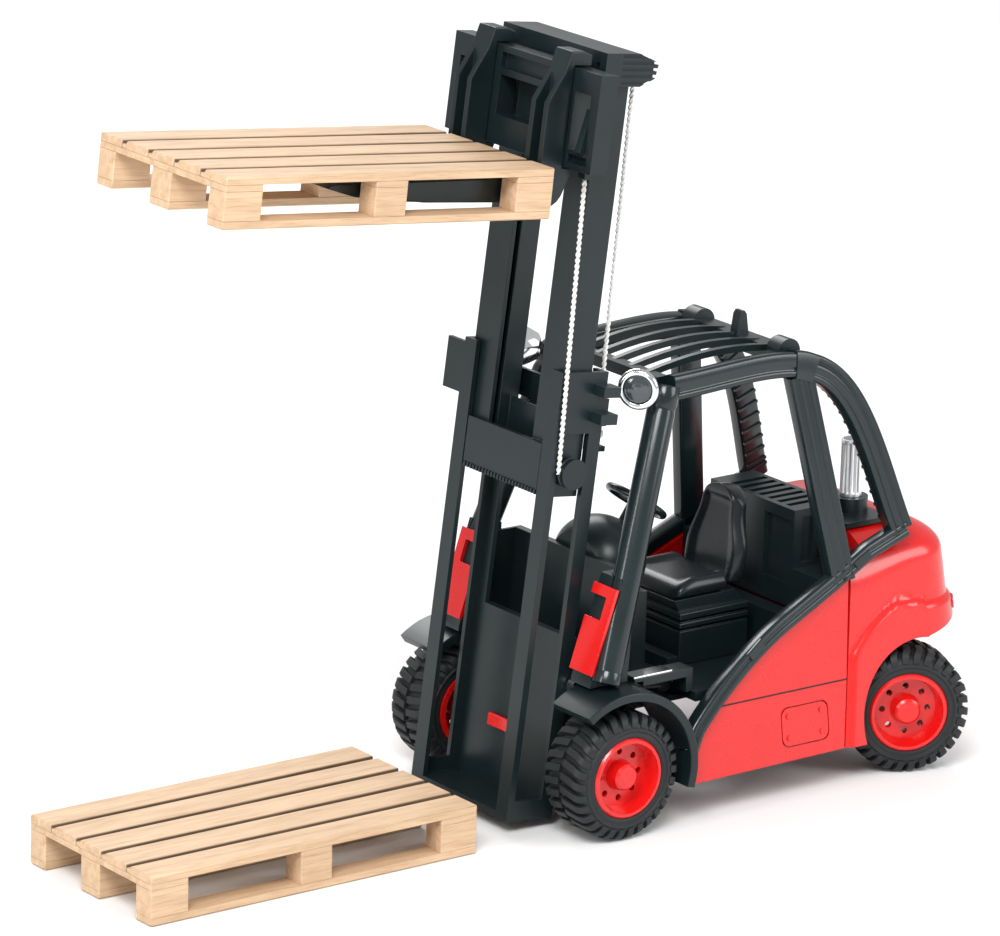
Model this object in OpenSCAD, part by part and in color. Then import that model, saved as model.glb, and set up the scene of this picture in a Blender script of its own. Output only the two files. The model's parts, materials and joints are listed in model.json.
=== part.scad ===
// Toy forklift, 1:16, with a two-stage mast and two pallets. Millimetres.
// The truck drives towards -X, +Y is its right side and z = 0 is the floor it stands on.
// Most shapes are drawn in the truck's frame, whose x = 0 is the front axle.

/* [Wheels] */
// Radius of all four tyres
tyre_r = 19; // [18.5:0.1:19.2]
// Width of a tyre
tyre_w = 17.6; // [16:0.1:18]
// Radius where a tyre sits on its rim
rim_r = 12; // [11.8:0.1:12.4]
// Distance between the front axle and the rear kingpins
wheelbase = 114; // [113:0.5:115]
// Angle at which the rear wheels are turned
steer = -25; // [-25:0.5:-18]

/* [Mast] */
// Angle by which the mast leans back
tilt = 7; // [5:0.5:7]
// Top of the outer mast above the tilt pivot
outer_top = 115; // [112:0.5:115]
// Lower end of the raised inner mast above the tilt pivot
inner_foot = 78; // [76:1:80]
// Underside of the crosshead above the tilt pivot
crosshead_v = 198; // [197.5:0.5:200]
// Width of the fork carriage
carriage_w = 69; // [66:1:71]
// Distance from the middle to each fork
fork_y = 18.2; // [17.2:0.5:18.2]

/* [Cab] */
// Height of the roof rails above the floor
roof_z = 127.5; // [126:0.5:129]
// Distance from the middle to the side frames where they stand on the sills
frame_y = 40; // [39.5:0.5:41]
// Inward lean of the side frames
lean = 8.5; // [8:0.1:9]

/* [Pallet] */
// Length of a pallet
pallet_l = 111.6; // [108:0.2:112]
// Width of a pallet
pallet_w = 62; // [60:0.5:64]
// Height of a pallet
pallet_h = 14.6; // [14.2:0.1:15]

/* [Hidden] */
$fn = 48;

black = "#23282c";
red = "#e01f1d";
chrome = "#c9ced2";
rubber = "#2b2e30";
timber = "#d9b183";
cord_white = "#f2f2ee";
glass_grey = "#3a3f44";

left = -1;
right = 1;

wheel_out_y = 46.6;
kingpin_y = 29.2;
wheel_reach = 16.6;
shoulder = 2.6;

// The set's origin is the middle of its box, on the floor: the lower pallet is the foremost
// piece, and a steered rear tyre the rearmost.
pallet_rear_u = -42.6;
counterweight_rear = 137;
tyre_rear = wheelbase + (wheel_reach - shoulder) * sin(-steer) + (tyre_r - shoulder) * cos(steer) + shoulder;
origin_x = (pallet_l - pallet_rear_u - max(counterweight_rear, tyre_rear)) / 2;

pivot_z = tyre_r;
axle_r = 2.5;
axle_tube_r = 4;
running = 0.05;
pin_arm = [11, 6];
tie_rod_l = 47.1;
panel_t = 3;

// ---------------------------------------------------------------- helpers

module truck() { translate([origin_x, 0, 0]) children(); }

// The mast's own frame: x runs back, z runs up the mast, and the origin is the tilt pivot.
module on_mast() { truck() translate([0, 0, pivot_z]) rotate([0, tilt, 0]) children(); }

// A box given by its lowest and highest corners
module block(low, high) { translate(low) cube(high - low); }

// The same box on the left and on the right
module both_sides(low, high) {
    for (side = [left, right]) mirror([0, side == left ? 1 : 0, 0]) block(low, high);
}

// An outline drawn in x and z, stretched across y from y0 to y1
module across(y0, y1) { translate([0, y1, 0]) rotate([90, 0, 0]) linear_extrude(y1 - y0) children(); }

// A cylinder along y
module y_rod(r, y0, y1, x = 0, z = 0) { translate([x, y1, z]) rotate([90, 0, 0]) cylinder(r = r, h = y1 - y0); }

// A cylinder along y on one side, from y0 to y1 out from the middle
module side_rod(side, r, y0, y1, at) { mirror([0, side == left ? 1 : 0, 0]) y_rod(r, y0, y1, at[0], at[1]); }

// A round bar between two points
module bar(a, b, r) {
    d = b - a;
    translate(a) rotate([0, acos(d[2] / norm(d)), atan2(d[1], d[0])]) cylinder(r = r, h = norm(d));
}

function unit(v) = v / norm(v);
function normal_at(pts, i) =
    let (a = pts[max(i - 1, 0)], b = pts[min(i + 1, len(pts) - 1)], d = unit(b - a)) [-d[1], d[0]];

// A strip of width w along a line of points
function strip(pts, w) = concat(
    [for (i = [0 : len(pts) - 1]) pts[i] + normal_at(pts, i) * w / 2],
    [for (i = [len(pts) - 1 : -1 : 0]) pts[i] - normal_at(pts, i) * w / 2]);

// Points along a cubic curve from a to d, pulled towards b and c
function curve(a, b, c, d, n = 10) = [for (i = [0 : n]) let (t = i / n, s = 1 - t)
    s * s * s * a + 3 * s * s * t * b + 3 * s * t * t * c + t * t * t * d];

function arc(centre, r, from, to, n = 12) =
    [for (i = [0 : n]) let (a = from + (to - from) * i / n) centre + r * [cos(a), sin(a)]];

// The leaning plane of a side frame: x stays, height turns into distance up the plane.
frame_z = 35;
function lean_y(z) = frame_y - (z - frame_z) * tan(lean);
function up_plane(pts) = [for (p = pts) [p[0], (p[1] - frame_z) / cos(lean)]];

module side_plane(side) {
    truck() mirror([0, side == right ? 1 : 0, 0])
        translate([0, -frame_y, frame_z]) rotate([90 - lean, 0, 0]) children();
}

// A slab in a side's leaning plane; its outer face stands out from the plane by proud
module side_slab(side, outline, t, proud = 0) {
    side_plane(side) translate([0, 0, proud - t]) linear_extrude(t) polygon(up_plane(outline));
}

// ---------------------------------------------------------------- body

// Where the side panels end and the black sill rails begin
function sill_line() = concat([[26.3, 11.6], [26.6, 22.4]],
    curve([29.5, 25.6], [38, 34.5], [50, 43.5], [62.4, 50.3]), [[82.7, 59.8], [88.3, 62.7]]);

module side_panel(side) {
    seam = 0.5;
    difference() {
        side_slab(side, concat(sill_line(), [[85.2, 31], [83, 12.2]]), panel_t);
        // the seam under the upper door, and the service hatch's recess
        side_slab(side, [[26, 32.2], [86, 32.2], [86, 32.2 + seam], [26, 32.2 + seam]], seam, 0.01);
        side_slab(side, hatch_outline(0.35), 1.2, 0.01);
        sill_bar(side);
    }
}
module side_panel_left() { color(red) side_panel(left); }
module side_panel_right() { color(red) side_panel(right); }

hatch_low = [60.2, 16.4];
hatch_high = [77.4, 27.6];
hatch_corner = 2.5;
function hatch_outline(grow) = let (
    a = hatch_low - [grow, grow], b = hatch_high + [grow, grow], r = hatch_corner) concat(
    arc([b[0] - r, b[1] - r], r, 0, 90, 4), arc([a[0] + r, b[1] - r], r, 90, 180, 4),
    arc([a[0] + r, a[1] + r], r, 180, 270, 4), arc([b[0] - r, a[1] + r], r, 270, 360, 4));

// The hatch with its four small screw heads
module hatch(side) {
    inset = 2.4;
    side_slab(side, hatch_outline(0), 1.19, 0);
    for (x = [hatch_low[0] + inset, hatch_high[0] - inset], z = [hatch_low[1] + inset, hatch_high[1] - inset])
        side_plane(side) translate([x, (z - frame_z) / cos(lean), 0]) cylinder(r = 0.8, h = 0.4, $fn = 24);
}
module hatch_left() { color(red) hatch(left); }
module hatch_right() { color(red) hatch(right); }

arch_r = 22.3;
arch_at = [112.3, 18.3];
pocket_r = 26.6;
skin_t = 1.6;
core_y = 20;

// Side view of the counterweight
function counterweight_profile() = concat(
    [[83.7, 12.3]], arc(arch_at, 20, 196, 92, 10),
    [[114.9, 38.9], [117, 40.5], [124.4, 42], [132, 43.5], [135, 46]],
    curve([137, 52], [137, 66], [133, 71], [123, 72.8], 8), [[104, 73], [94, 73], [89.4, 63.1], [86, 31]]);

// Plan view of the counterweight: round corners at the back
function counterweight_plan() = let (r = 22, w = 42) concat(
    [[70, -w]], arc([counterweight_rear - r, -w + r], r, -90, 0, 10),
    arc([counterweight_rear - r, w - r], r, 0, 90, 10), [[70, w]]);

// The rear corners seen along the diagonal they round off
module corner_trim() {
    for (side = [left, right]) mirror([0, side == left ? 1 : 0, 0]) rotate([0, 0, 37.2])
        across(-150, 150) polygon(concat([[126, 39], [125.4, 47], [123.4, 52]],
            curve([121.8, 65], [119.6, 70], [114, 72.5], [106, 73.2], 6), [[106, 90], [170, 90], [170, 39]]));
}

module counterweight() {
    color(red) difference() {
        counterweight_shell();
        // the sill rails lie in grooves in its sides
        sill_bar(left);
        sill_bar(right);
    }
}
module counterweight_shell() {
    truck() difference() {
        intersection() {
            across(-50, 50) polygon(counterweight_profile());
            translate([0, 0, 10]) linear_extrude(75) polygon(counterweight_plan());
            // sides that lean in as the cab frame does
            rotate([90, 0, 90]) linear_extrude(150) polygon([
                [-lean_y(0), 0], [lean_y(0), 0], [lean_y(90), 90], [-lean_y(90), 90]]);
        }
        corner_trim();
        // wheel arches through the skin, and behind them the room a steered wheel needs
        y_rod(arch_r, -60, 60, arch_at[0], arch_at[1], $fn = 96);
        intersection() {
            for (side = [left, right])
                translate([wheelbase, side * kingpin_y, 0]) cylinder(r = pocket_r, h = 39.2, $fn = 96);
            rotate([90, 0, 90]) linear_extrude(150) polygon([
                [-lean_y(0) + skin_t, 0], [lean_y(0) - skin_t, 0],
                [lean_y(40) - skin_t, 40], [-lean_y(40) + skin_t, 40]]);
        }
        // room for the chassis, the rear axle and the tie rod
        block([60, -core_y - 10, 0], [150, core_y + 10, 39.2]);
        block([60, -15, 30], [121, 15, 44]);
        // the hollow that holds the engine cover
        block([70, -33, 50], [97, 33, 90]);
        block([70, -33, 50], [99, 33, 70]);
    }
}

module engine_cover() {
    slats = 7;
    pitch = 4.4;
    color(black) truck() difference() {
        union() {
            block([80, -20, 50], [96.6, 20, 80]);
            block([80, -32.4, 50], [96.8, 32.4, 62]);
            block([96, -25, 73.1], [113, -4, 74.6]);
            translate([107, -13, 74]) cylinder(r = 5.4, h = 4.9);
        }
        for (i = [0 : slats - 1])
            block([82, -15.4 + i * pitch, 78.6], [95, -15.4 + i * pitch + 2.2, 81]);
        // shallow panels in the front and in the sides
        both_sides([79, 6, 57], [81.2, 18.5, 76.5]);
        both_sides([83, 18.9, 63.5], [87.4, 21, 77.5]);
        both_sides([89.2, 18.9, 63.5], [94.6, 21, 77.5]);
    }
}

module exhaust() {
    ribs = 12;
    color(chrome) truck() translate([107, -13, 79]) difference() {
        cylinder(r = 3.4, h = 17.5);
        translate([0, 0, 14.5]) cylinder(r = 2.6, h = 4);
        for (i = [0 : ribs - 1]) rotate([0, 0, i * 360 / ribs])
            translate([3.6, 0, 1.5]) cylinder(r = 0.45, h = 17, $fn = 16);
    }
}

tilt_y = 25.4;
tilt_pin_r = 1.4;
barrel_pin = [27, 38];
module chassis() {
    nose_y = 21.5;
    color(black) truck() {
        difference() {
            union() {
                block([-5.5, -nose_y, 11], [12, nose_y, 33.5]); // nose that carries the front axle
                block([8, -28, 18], [82, 28, 33.5]);            // middle, between the side panels
                block([80, -14, 24], [120, 14, 44]);            // spine over the rear axle
            }
            y_rod(axle_tube_r, -30, 30, 0, pivot_z);
            // hollow underside, open to the sides behind the front wheels
            block([16, -30, 9], [76, 30, 32.2]);
        }
        // brackets and pins for the tilt cylinders
        both_sides([23, 21.8, 33.4], [31, 22.8, 41]);
        for (side = [left, right])
            side_rod(side, tilt_pin_r, 22.7, 27.6, barrel_pin);
    }
}

// The cab's floor with its raised edges, and the box under the seat
module cab_tub() {
    color(black) truck() {
        block([6, -21.5, 34], [31.4, 21.5, 37]);
        block([31.4, -28, 34], [80, 28, 37]);
        both_sides([31.4, 28, 34], [80, 36.6, 37]);
        both_sides([10, 28.6, 43], [14, 35, 44]);            // steps beside the fenders
        both_sides([13.2, 28.6, 41.5], [31, 35, 44]);
        both_sides([29, 28.6, 36.9], [31.4, 35, 44]);
        block([73, -32, 37], [79, 32, 49.8]);
        block([36, -17, 37], [40, 17, 41]);
    }
}

module step_plates() {
    color(chrome) truck() both_sides([10, 29.4, 44.02], [24, 34.6, 44.6]);
}

fender_out = 25.6;
fender_in = 22.9;
module fender(side) {
    y0 = side == left ? -46.4 : 28.6;
    color(black) difference() {
        truck() across(y0, y0 + 17.8) polygon(concat(
            arc([0, pivot_z], fender_out, -17, 126, 24), arc([0, pivot_z], fender_in, 126, -17, 24)));
        sill_bar(side);
    }
}
module fender_left() { fender(left); }
module fender_right() { fender(right); }

// The sloping front of the cab beside the mast, one leg under each A-pillar
cowl_low = [-7.5, 46];
cowl_high = [2.5, 76];
module cowl() {
    color(black) truck() difference() {
        union() {
            for (side = [left, right]) mirror([0, side == left ? 1 : 0, 0]) across(27.4, 36.6)
                polygon([cowl_low, cowl_high, cowl_high + [5, 0], [6.5, 52], [5.9, 44.8], [-7.5, 44.8]]);
            // the cross panel behind the mast, open low down where the tilt cylinders pass
            difference() {
                across(-27.4, 27.4) polygon([[9, 37.1], [12, 74], [14.5, 74], [12.5, 37.1]]);
                both_sides([0, 22, 30], [20, 40, 45]);
            }
            both_sides([4, 26.4, 46], [12, 27.5, 74]);
        }
        for (side = [left, right]) pillar_bar(side, pillar_r + 0.1);
    }
}

// Red covers on the cowl, each cut out in a C shape
module cowl_trims() {
    slope = atan2(cowl_high[0] - cowl_low[0], cowl_high[1] - cowl_low[1]);
    color(red) truck() for (side = [left, right]) difference() {
        mirror([0, side == left ? 1 : 0, 0])
            translate([cowl_low[0], 0, cowl_low[1]]) rotate([0, slope, 0]) difference() {
                block([-1.2, 26.8, 2.5], [-0.01, 37.4, 28.5]);
                block([-2, 26, 18.5], [1, 34, 25.3]);
            }
        pillar_bar(side, pillar_r);
    }
}

module dashboard() {
    color(black) difference() {
        dashboard_block();
        cowl();
    }
}
module dashboard_block() {
    truck() {
        translate([23, 0, 70]) intersection() {
            scale([1, 1.25, 1]) sphere(r = 12.5);
            block([-9, -16, -14], [14, 16, 14]);
        }
        block([14.6, -14, 37.1], [30, 14, 62]);
        bar(steering_hub - 9 * steering_axis, steering_hub - 1.6 * steering_axis, 2);
        bar(steering_hub - 3 * steering_axis, steering_hub + 1.5 * steering_axis, 1.2);
    }
}

wheel_tilt = 35;
steering_hub = [36, 0, 85];
steering_axis = [sin(wheel_tilt), 0, cos(wheel_tilt)];
// The steering wheel turns on the column's pin
module steering_wheel() {
    rim = 9;
    color(black) truck() translate(steering_hub) rotate([0, wheel_tilt, 0]) {
        rotate_extrude() translate([rim, 0]) circle(r = 1.1, $fn = 20);
        difference() {
            cylinder(r = 2.6, h = 2.2, center = true);
            cylinder(r = 1.2 + running, h = 4, center = true);
        }
        for (a = [0, 120, 240]) rotate([0, 0, a]) block([2.2, -0.8, -0.6], [rim - 0.6, 0.8, 0.6]);
    }
}

module seat_base() {
    color(black) truck() difference() {
        union() {
            block([42, -15, 37.1], [68, 15, 53]);
            across(-13, 13) polygon([[43, 53], [41, 56.6], [64, 56.6], [68, 53]]);
        }
        // two grooves round the box
        for (z = [47.4, 50]) difference() {
            block([41, -16, z], [69, 16, z + 0.8]);
            block([42.8, -14.2, z - 1], [67.2, 14.2, z + 2]);
        }
    }
}
module seat_cushion() {
    color(black) truck() across(-14, 14) polygon(concat(
        arc([44.5, 60], 3.2, 270, 90, 6), arc([58, 60], 3, 90, 0, 4), [[61, 56.8]]));
}
module seat_back() {
    lean_back = 10;
    color(black) truck() translate([62.4, 0, 57.2]) rotate([0, lean_back, 0])
        rotate([90, 0, 90]) linear_extrude(6.5) polygon(concat([[-12, 0], [12, 0], [13, 4]],
            arc([8, 22], 7, 5, 80, 5), arc([-8, 22], 7, 100, 175, 5), [[-13, 4]]));
}

// ---------------------------------------------------------------- cab frame

pillar_foot = [-3.3, 46];
pillar_top = [25, 128];
pillar_r = 4.3;
module pillar_bar(side, r) {
    bar([pillar_foot[0], side * lean_y(pillar_foot[1]), pillar_foot[1]],
        [pillar_top[0], side * lean_y(pillar_top[1]), pillar_top[1]], r);
}
module a_pillar(side) { color(black) truck() pillar_bar(side, pillar_r); }
module a_pillar_left() { a_pillar(left); }
module a_pillar_right() { a_pillar(right); }

bar_t = 5;
module roof_rail(side) {
    line = curve([30.4, roof_z - 0.3], [48, roof_z], [60, roof_z + 2], [72.6, roof_z - 0.2]);
    color(black) side_slab(side, strip(line, 7.6), bar_t, bar_t / 2);
}
module roof_rail_left() { roof_rail(left); }
module roof_rail_right() { roof_rail(right); }

module arc_bar(side) {
    side_slab(side, strip(curve([77, roof_z - 1.2], [95, 121], [100, 97], [107, 77]), 8.2), bar_t, bar_t / 2);
}
module rear_arc(side) { color(black) arc_bar(side); }
module rear_arc_left() { rear_arc(left); }
module rear_arc_right() { rear_arc(right); }

module b_pillar(side) {
    color(black) difference() {
        side_slab(side, strip([[74, 122.4], [84, 67.4]], 8.6), bar_t, bar_t / 2);
        arc_bar(side);
    }
}
module b_pillar_left() { b_pillar(left); }
module b_pillar_right() { b_pillar(right); }

// The rail that follows the top of the side panel up to the foot of the rear arc
function sill_rail_line() = concat(
    [[24.6, 21.5]], curve([27.8, 27.4], [36, 36.2], [48.5, 46], [61.2, 52.5]),
    [[81.6, 62], [95.6, 69], [111, 74]]);
module sill_bar(side) { side_slab(side, strip(sill_rail_line(), 5), bar_t, bar_t / 2); }
module sill_rail(side) {
    clips = [[50.4, 47.4], [92, 67.4]];
    color(black) {
        sill_bar(side);
        for (c = clips) side_plane(side) translate([c[0], (c[1] - frame_z) / cos(lean), bar_t / 2])
            rotate([0, 0, 27]) block([-3.6, -1.2, -0.5], [3.6, 1.2, 0.8]);
    }
}
module sill_rail_left() { sill_rail(left); }
module sill_rail_right() { sill_rail(right); }

// The overhead guard between the two roof rails
module roof_grille() {
    bars = [-16, -8, 0, 8, 16];
    bar_w = 1.9;
    front = [26, roof_z + 1.4];
    back = [73, roof_z + 2.8];
    y = lean_y(roof_z) - bar_t / 2 - 0.6;
    color(black) truck() difference() {
        union() {
            block([front[0] - 2, -y, front[1] - 2.6], [front[0] + 2, y, front[1] + 0.9]);
            block([back[0] - 3, -y, back[1] - 3.6], [back[0] + 3, y, back[1] + 0.8]);
            for (b = bars) across(b - bar_w / 2, b + bar_w / 2)
                polygon(strip(curve(front, [44, roof_z + 5.2], [58, roof_z + 5.2], back), 1.9));
            for (side = [left, right]) side_rod(side, 4.2, y - 5.8, y - 0.2, back - [0, 0.2]);
            across(-1.6, 1.6)
                polygon([[70.4, roof_z + 3], [75, roof_z + 3], [74, roof_z + 9.4],
                    [73.2, roof_z + 10.4], [72.2, roof_z + 10.4], [71.4, roof_z + 9.4]]);
        }
        for (side = [left, right]) pillar_bar(side, pillar_r + 0.1);
    }
}

// Work lamps on the front corners of the roof, turned outwards
lamp_at = [14, 27.5, 129];
lamp_turn = 38;
module lamp_place(side) {
    truck() mirror([0, side == left ? 1 : 0, 0]) translate(lamp_at)
        rotate([0, 0, 180 - lamp_turn]) rotate([0, 90, 0]) children();
}
module lamps() {
    color(chrome) for (side = [left, right]) {
        lamp_place(side) difference() {
            translate([0, 0, -5]) cylinder(r1 = 3.2, r2 = 6.1, h = 7);
            translate([0, 0, -0.5]) cylinder(r = 4.95, h = 4);
        }
        truck() difference() {
            bar([lamp_at[0] + 3, side * (lamp_at[1] - 3.5), lamp_at[2]], [20.2, side * 25, 126.5], 1.4);
            pillar_bar(side, pillar_r);
        }
    }
}
module lamp_lenses() {
    color(glass_grey) for (side = [left, right])
        lamp_place(side) translate([0, 0, -0.48]) cylinder(r = 4.9, h = 2.2);
}

// ---------------------------------------------------------------- wheels

module front_axle() {
    color(chrome) truck() {
        y_rod(axle_tube_r, -28.5, 28.5, 0, pivot_z);
        y_rod(axle_r, -41.8, 41.8, 0, pivot_z);
    }
}

// Wheels are drawn with the outer face at z = 0 and the axle down -z.
dish = 5;
module rim() {
    holes = 8;
    lip = 11.5;
    barrel = 10.2;
    difference() {
        rotate_extrude() polygon([
            [axle_r + running, -tyre_w], [5, -tyre_w + 0.4], [5, -dish - 2],
            [barrel, -dish - 2], [barrel, -tyre_w],
            [rim_r, -tyre_w], [rim_r, -0.6], [lip, 0], [barrel + 0.4, 0], [barrel - 0.8, -dish],
            [4.6, -dish], [3.9, -1.6], [3.2, -1], [0, -1], [0, -4.4], [axle_r + running, -4.4]]);
        for (i = [0 : holes - 1]) rotate([0, 0, i * 360 / holes])
            translate([7, 0, -dish - 3]) cylinder(r = 0.95, h = 4, $fn = 16);
    }
}
module tyre() {
    rotate_extrude($fn = 96) polygon(concat(
        [[rim_r, -tyre_w], [rim_r + 3, -tyre_w - 0.0]],
        arc([tyre_r - shoulder, -tyre_w + shoulder], shoulder, -90, 0, 5),
        arc([tyre_r - shoulder, -shoulder], shoulder, 0, 90, 5),
        [[rim_r + 3, 0], [rim_r, 0]]));
}

module front_wheel_place(side) {
    truck() translate([0, side * wheel_out_y, pivot_z]) rotate([side == left ? 90 : -90, 0, 0]) children();
}
module kingpin_place(side) {
    truck() translate([wheelbase, side * kingpin_y, pivot_z]) rotate([0, 0, steer]) children();
}
module rear_wheel_place(side) {
    kingpin_place(side) translate([0, side * wheel_reach, 0])
        rotate([side == left ? 90 : -90, 0, 0]) children();
}
module rim_front_left() { color(red) front_wheel_place(left) rim(); }
module rim_front_right() { color(red) front_wheel_place(right) rim(); }
module rim_rear_left() { color(red) rear_wheel_place(left) rear_rim(); }
module rim_rear_right() { color(red) rear_wheel_place(right) rear_rim(); }
module tyre_front_left() { color(rubber) front_wheel_place(left) tyre(); }
module tyre_front_right() { color(rubber) front_wheel_place(right) tyre(); }
module tyre_rear_left() { color(rubber) rear_wheel_place(left) tyre(); }
module tyre_rear_right() { color(rubber) rear_wheel_place(right) tyre(); }

// A rear rim has a short hub, which leaves room inside for the knuckle
module rear_rim() {
    difference() {
        rim();
        translate([0, 0, -tyre_w - 1]) cylinder(r = 5.5, h = tyre_w - dish - 5);
    }
}

knuckle_r = 4;
knuckle_h = 9;
kingpin_r = 1.5;
module knuckle(side) {
    color(black) kingpin_place(side) difference() {
        union() {
            cylinder(r = knuckle_r, h = knuckle_h, center = true);
            y_rod(axle_r, side == left ? -11.8 : 2, side == left ? -2 : 11.8);
            // the steering arm and its pin
            bar([0, 0, 0], [pin_arm[0], -side * pin_arm[1], 0], 1.3);
            translate([pin_arm[0], -side * pin_arm[1], -1.6]) cylinder(r = 2.6, h = 3.2);
            translate([pin_arm[0], -side * pin_arm[1], 0]) cylinder(r = 1.2, h = 5);
        }
        cylinder(r = kingpin_r + running, h = 20, center = true);
    }
}
module knuckle_left() { knuckle(left); }
module knuckle_right() { knuckle(right); }

// The beam ends in a lug above and a lug below each knuckle, with the kingpin through both
module rear_axle() {
    lug_t = 1.8;
    gap = 0.3;
    beam_end = 19;
    half = 3.3;
    color(black) truck() translate([wheelbase, 0, pivot_z]) {
        block([-half, -beam_end, -knuckle_h / 2 - 0.5], [half, beam_end, knuckle_h / 2 + 0.5]);
        for (up = [-1, 1]) {
            z = up > 0 ? knuckle_h / 2 + gap : -knuckle_h / 2 - gap - lug_t;
            both_sides([-half, beam_end - 2, z], [half, kingpin_y, z + lug_t]);
            for (side = [left, right]) translate([0, side * kingpin_y, z]) cylinder(r = 3.6, h = lug_t);
        }
        for (side = [left, right])
            translate([0, side * kingpin_y, 0])
                cylinder(r = kingpin_r, h = knuckle_h + 2 * (gap + lug_t), center = true);
    }
}

function turn(v, a) = [v[0] * cos(a) - v[1] * sin(a), v[0] * sin(a) + v[1] * cos(a)];
function arm_pin(side) = [wheelbase, side * kingpin_y] + turn([pin_arm[0], -side * pin_arm[1]], steer);

module tie_rod() {
    a = arm_pin(left);
    b = arm_pin(right);
    heading = atan2(b[1] - a[1], b[0] - a[0]);
    loose = 0.85;
    color(chrome) truck() translate([a[0], a[1], pivot_z + 1.9]) rotate([0, 0, heading]) difference() {
        union() {
            block([0, -1.2, 0], [tie_rod_l, 1.2, 2.2]);
            cylinder(r = 2.7, h = 2.2);
            translate([tie_rod_l, 0, 0]) cylinder(r = 3.4, h = 2.2);
        }
        translate([0, 0, -1]) cylinder(r = 1.2 + running, h = 5);
        translate([tie_rod_l, 0, -1]) cylinder(r = 1.2 + loose, h = 5);
    }
}

// ---------------------------------------------------------------- mast

outer_foot = -16;
outer_front = -24.5;
outer_back = -8;
outer_y = 23.5;
sheet = 1.5;
window_front = -22.3;
window_back = -12.4;

module outer_mast() {
    rear_ties = [[28, 36], [99, 107]];
    color(black) on_mast() {
        for (side = [left, right]) mirror([0, side == left ? 1 : 0, 0]) {
            block([outer_front, 18, outer_foot], [outer_front + sheet, outer_y, outer_top]);
            block([outer_back - sheet, 18, outer_foot], [outer_back, outer_y, outer_top]);
            block([outer_front, outer_y - sheet, outer_foot], [window_front, outer_y, outer_top]);
            block([window_back, outer_y - sheet, outer_foot], [outer_back, outer_y, outer_top]);
            block([outer_front, outer_y - sheet, outer_foot], [outer_back, outer_y, outer_foot + 4]);
            block([outer_front, outer_y - sheet, 97], [outer_back, outer_y, outer_top]);
            upper_bracket(side);
            // bearing that hangs on the front axle
            difference() {
                union() {
                    y_rod(7.5, outer_y - sheet, 28);
                    block([outer_back - 1, outer_y - sheet, -5], [0, 28, 5]);
                }
                y_rod(axle_tube_r + running, 20, 30);
            }
        }
        block([outer_front, -outer_y, outer_foot - 2], [outer_back, outer_y, outer_foot]);
        // plate that closes the back low down
        block([outer_back - sheet, -outer_y, outer_foot], [outer_back, outer_y, 36]);
        for (v = rear_ties) block([outer_back, -outer_y, v[0]], [outer_back + 1.5, outer_y, v[1]]);
        // hook that holds the lift cord's knot, and lugs with the pins of the tilt cylinders
        difference() {
            union() {
                block([outer_back, -20, 90.6], [outer_back + 1.5, -16, 99.1]);
                block([outer_back, -20, 90.6], [outer_back + 5, -16, 92.1]);
            }
            lift_cord_line();
        }
        both_sides([outer_back - 0.1, 22, 17], [outer_back + 4, 23.5, 27]);
        for (side = [left, right])
            side_rod(side, tilt_pin_r, 23.4, 27.2, rod_pin);
    }
}

// Two small brackets on the side, at the top of the outer mast. The right side has a stop plate
// too; on the left the return cord runs there.
module upper_bracket(side) {
    if (side == right) translate([outer_front, outer_y, 98.5]) block([0, -0.5, 0], [sheet, 8, 15]);
    for (v = [100.5, 108.5]) block([-12.5, outer_y - 0.5, v], [-6.5, outer_y + 4.8, v + 3]);
}

// Tilt cylinders: each barrel turns on a chassis pin and its rod holds a pin on the mast.
rod_pin = [-6.5, 22];
rod_pin_at = turn([rod_pin[0], rod_pin[1]], -tilt) + [0, pivot_z];
cylinder_rise = atan2(rod_pin_at[1] - barrel_pin[1], barrel_pin[0] - rod_pin_at[0]);
cylinder_l = norm(rod_pin_at - barrel_pin);
eye_loose = 0.35;
// Drawn from the chassis pin, with the cylinder along -x
module cylinder_place(side) {
    truck() translate([barrel_pin[0], side * tilt_y, barrel_pin[1]]) rotate([0, cylinder_rise, 0]) children();
}
module tilt_barrels() {
    color(black) for (side = [left, right]) cylinder_place(side) difference() {
        union() {
            y_rod(2.7, -1.9, 1.9);
            rotate([0, -90, 0]) cylinder(r = 2.3, h = 19);
        }
        y_rod(tilt_pin_r + running, -4, 4);
        translate([-3.6, 0, 0]) rotate([0, -90, 0]) cylinder(r = 1.7, h = 20);
    }
}
module tilt_rods() {
    color(chrome) for (side = [left, right]) cylinder_place(side) difference() {
        union() {
            translate([-6, 0, 0]) rotate([0, -90, 0]) cylinder(r = 1.3, h = cylinder_l - 8);
            y_rod(2.8, -1.4, 1.4, -cylinder_l, 0);
        }
        y_rod(tilt_pin_r + eye_loose, -4, 4, -cylinder_l, 0);
    }
}

inner_front = -22.5;
inner_back = -12.5;
inner_y = 21.5;
inner_top = 204.2;
module inner_mast() {
    ribs = 24;
    apron_y = 17.6;
    apron_top = 93;
    color(black) on_mast() {
        for (side = [left, right]) mirror([0, side == left ? 1 : 0, 0]) {
            block([inner_front, inner_y - sheet, inner_foot], [inner_back, inner_y, inner_top]);
            block([inner_front, 10.5, inner_foot], [inner_front + sheet, inner_y, crosshead_v]);
            block([inner_back - sheet, 10.5, inner_foot], [inner_back, inner_y, crosshead_v]);
            block([-19.3, 10.5, inner_foot], [inner_back, 12, crosshead_v]);
        }
        block([-15.5, -inner_y, inner_foot], [inner_back - sheet, inner_y, 100]);
        block([-15.5, -inner_y, 164], [inner_back, inner_y, 171]);
        // apron with a ribbed lower edge
        block([outer_front + 0.1, -apron_y, inner_foot + 1.5], [inner_front, apron_y, apron_top]);
        for (i = [0 : ribs - 1]) let (pitch = 2 * apron_y / ribs)
            block([outer_front - 0.3, -apron_y + i * pitch, inner_foot],
                [inner_front, -apron_y + (i + 0.55) * pitch, inner_foot + 1.5]);
    }
}

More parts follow.
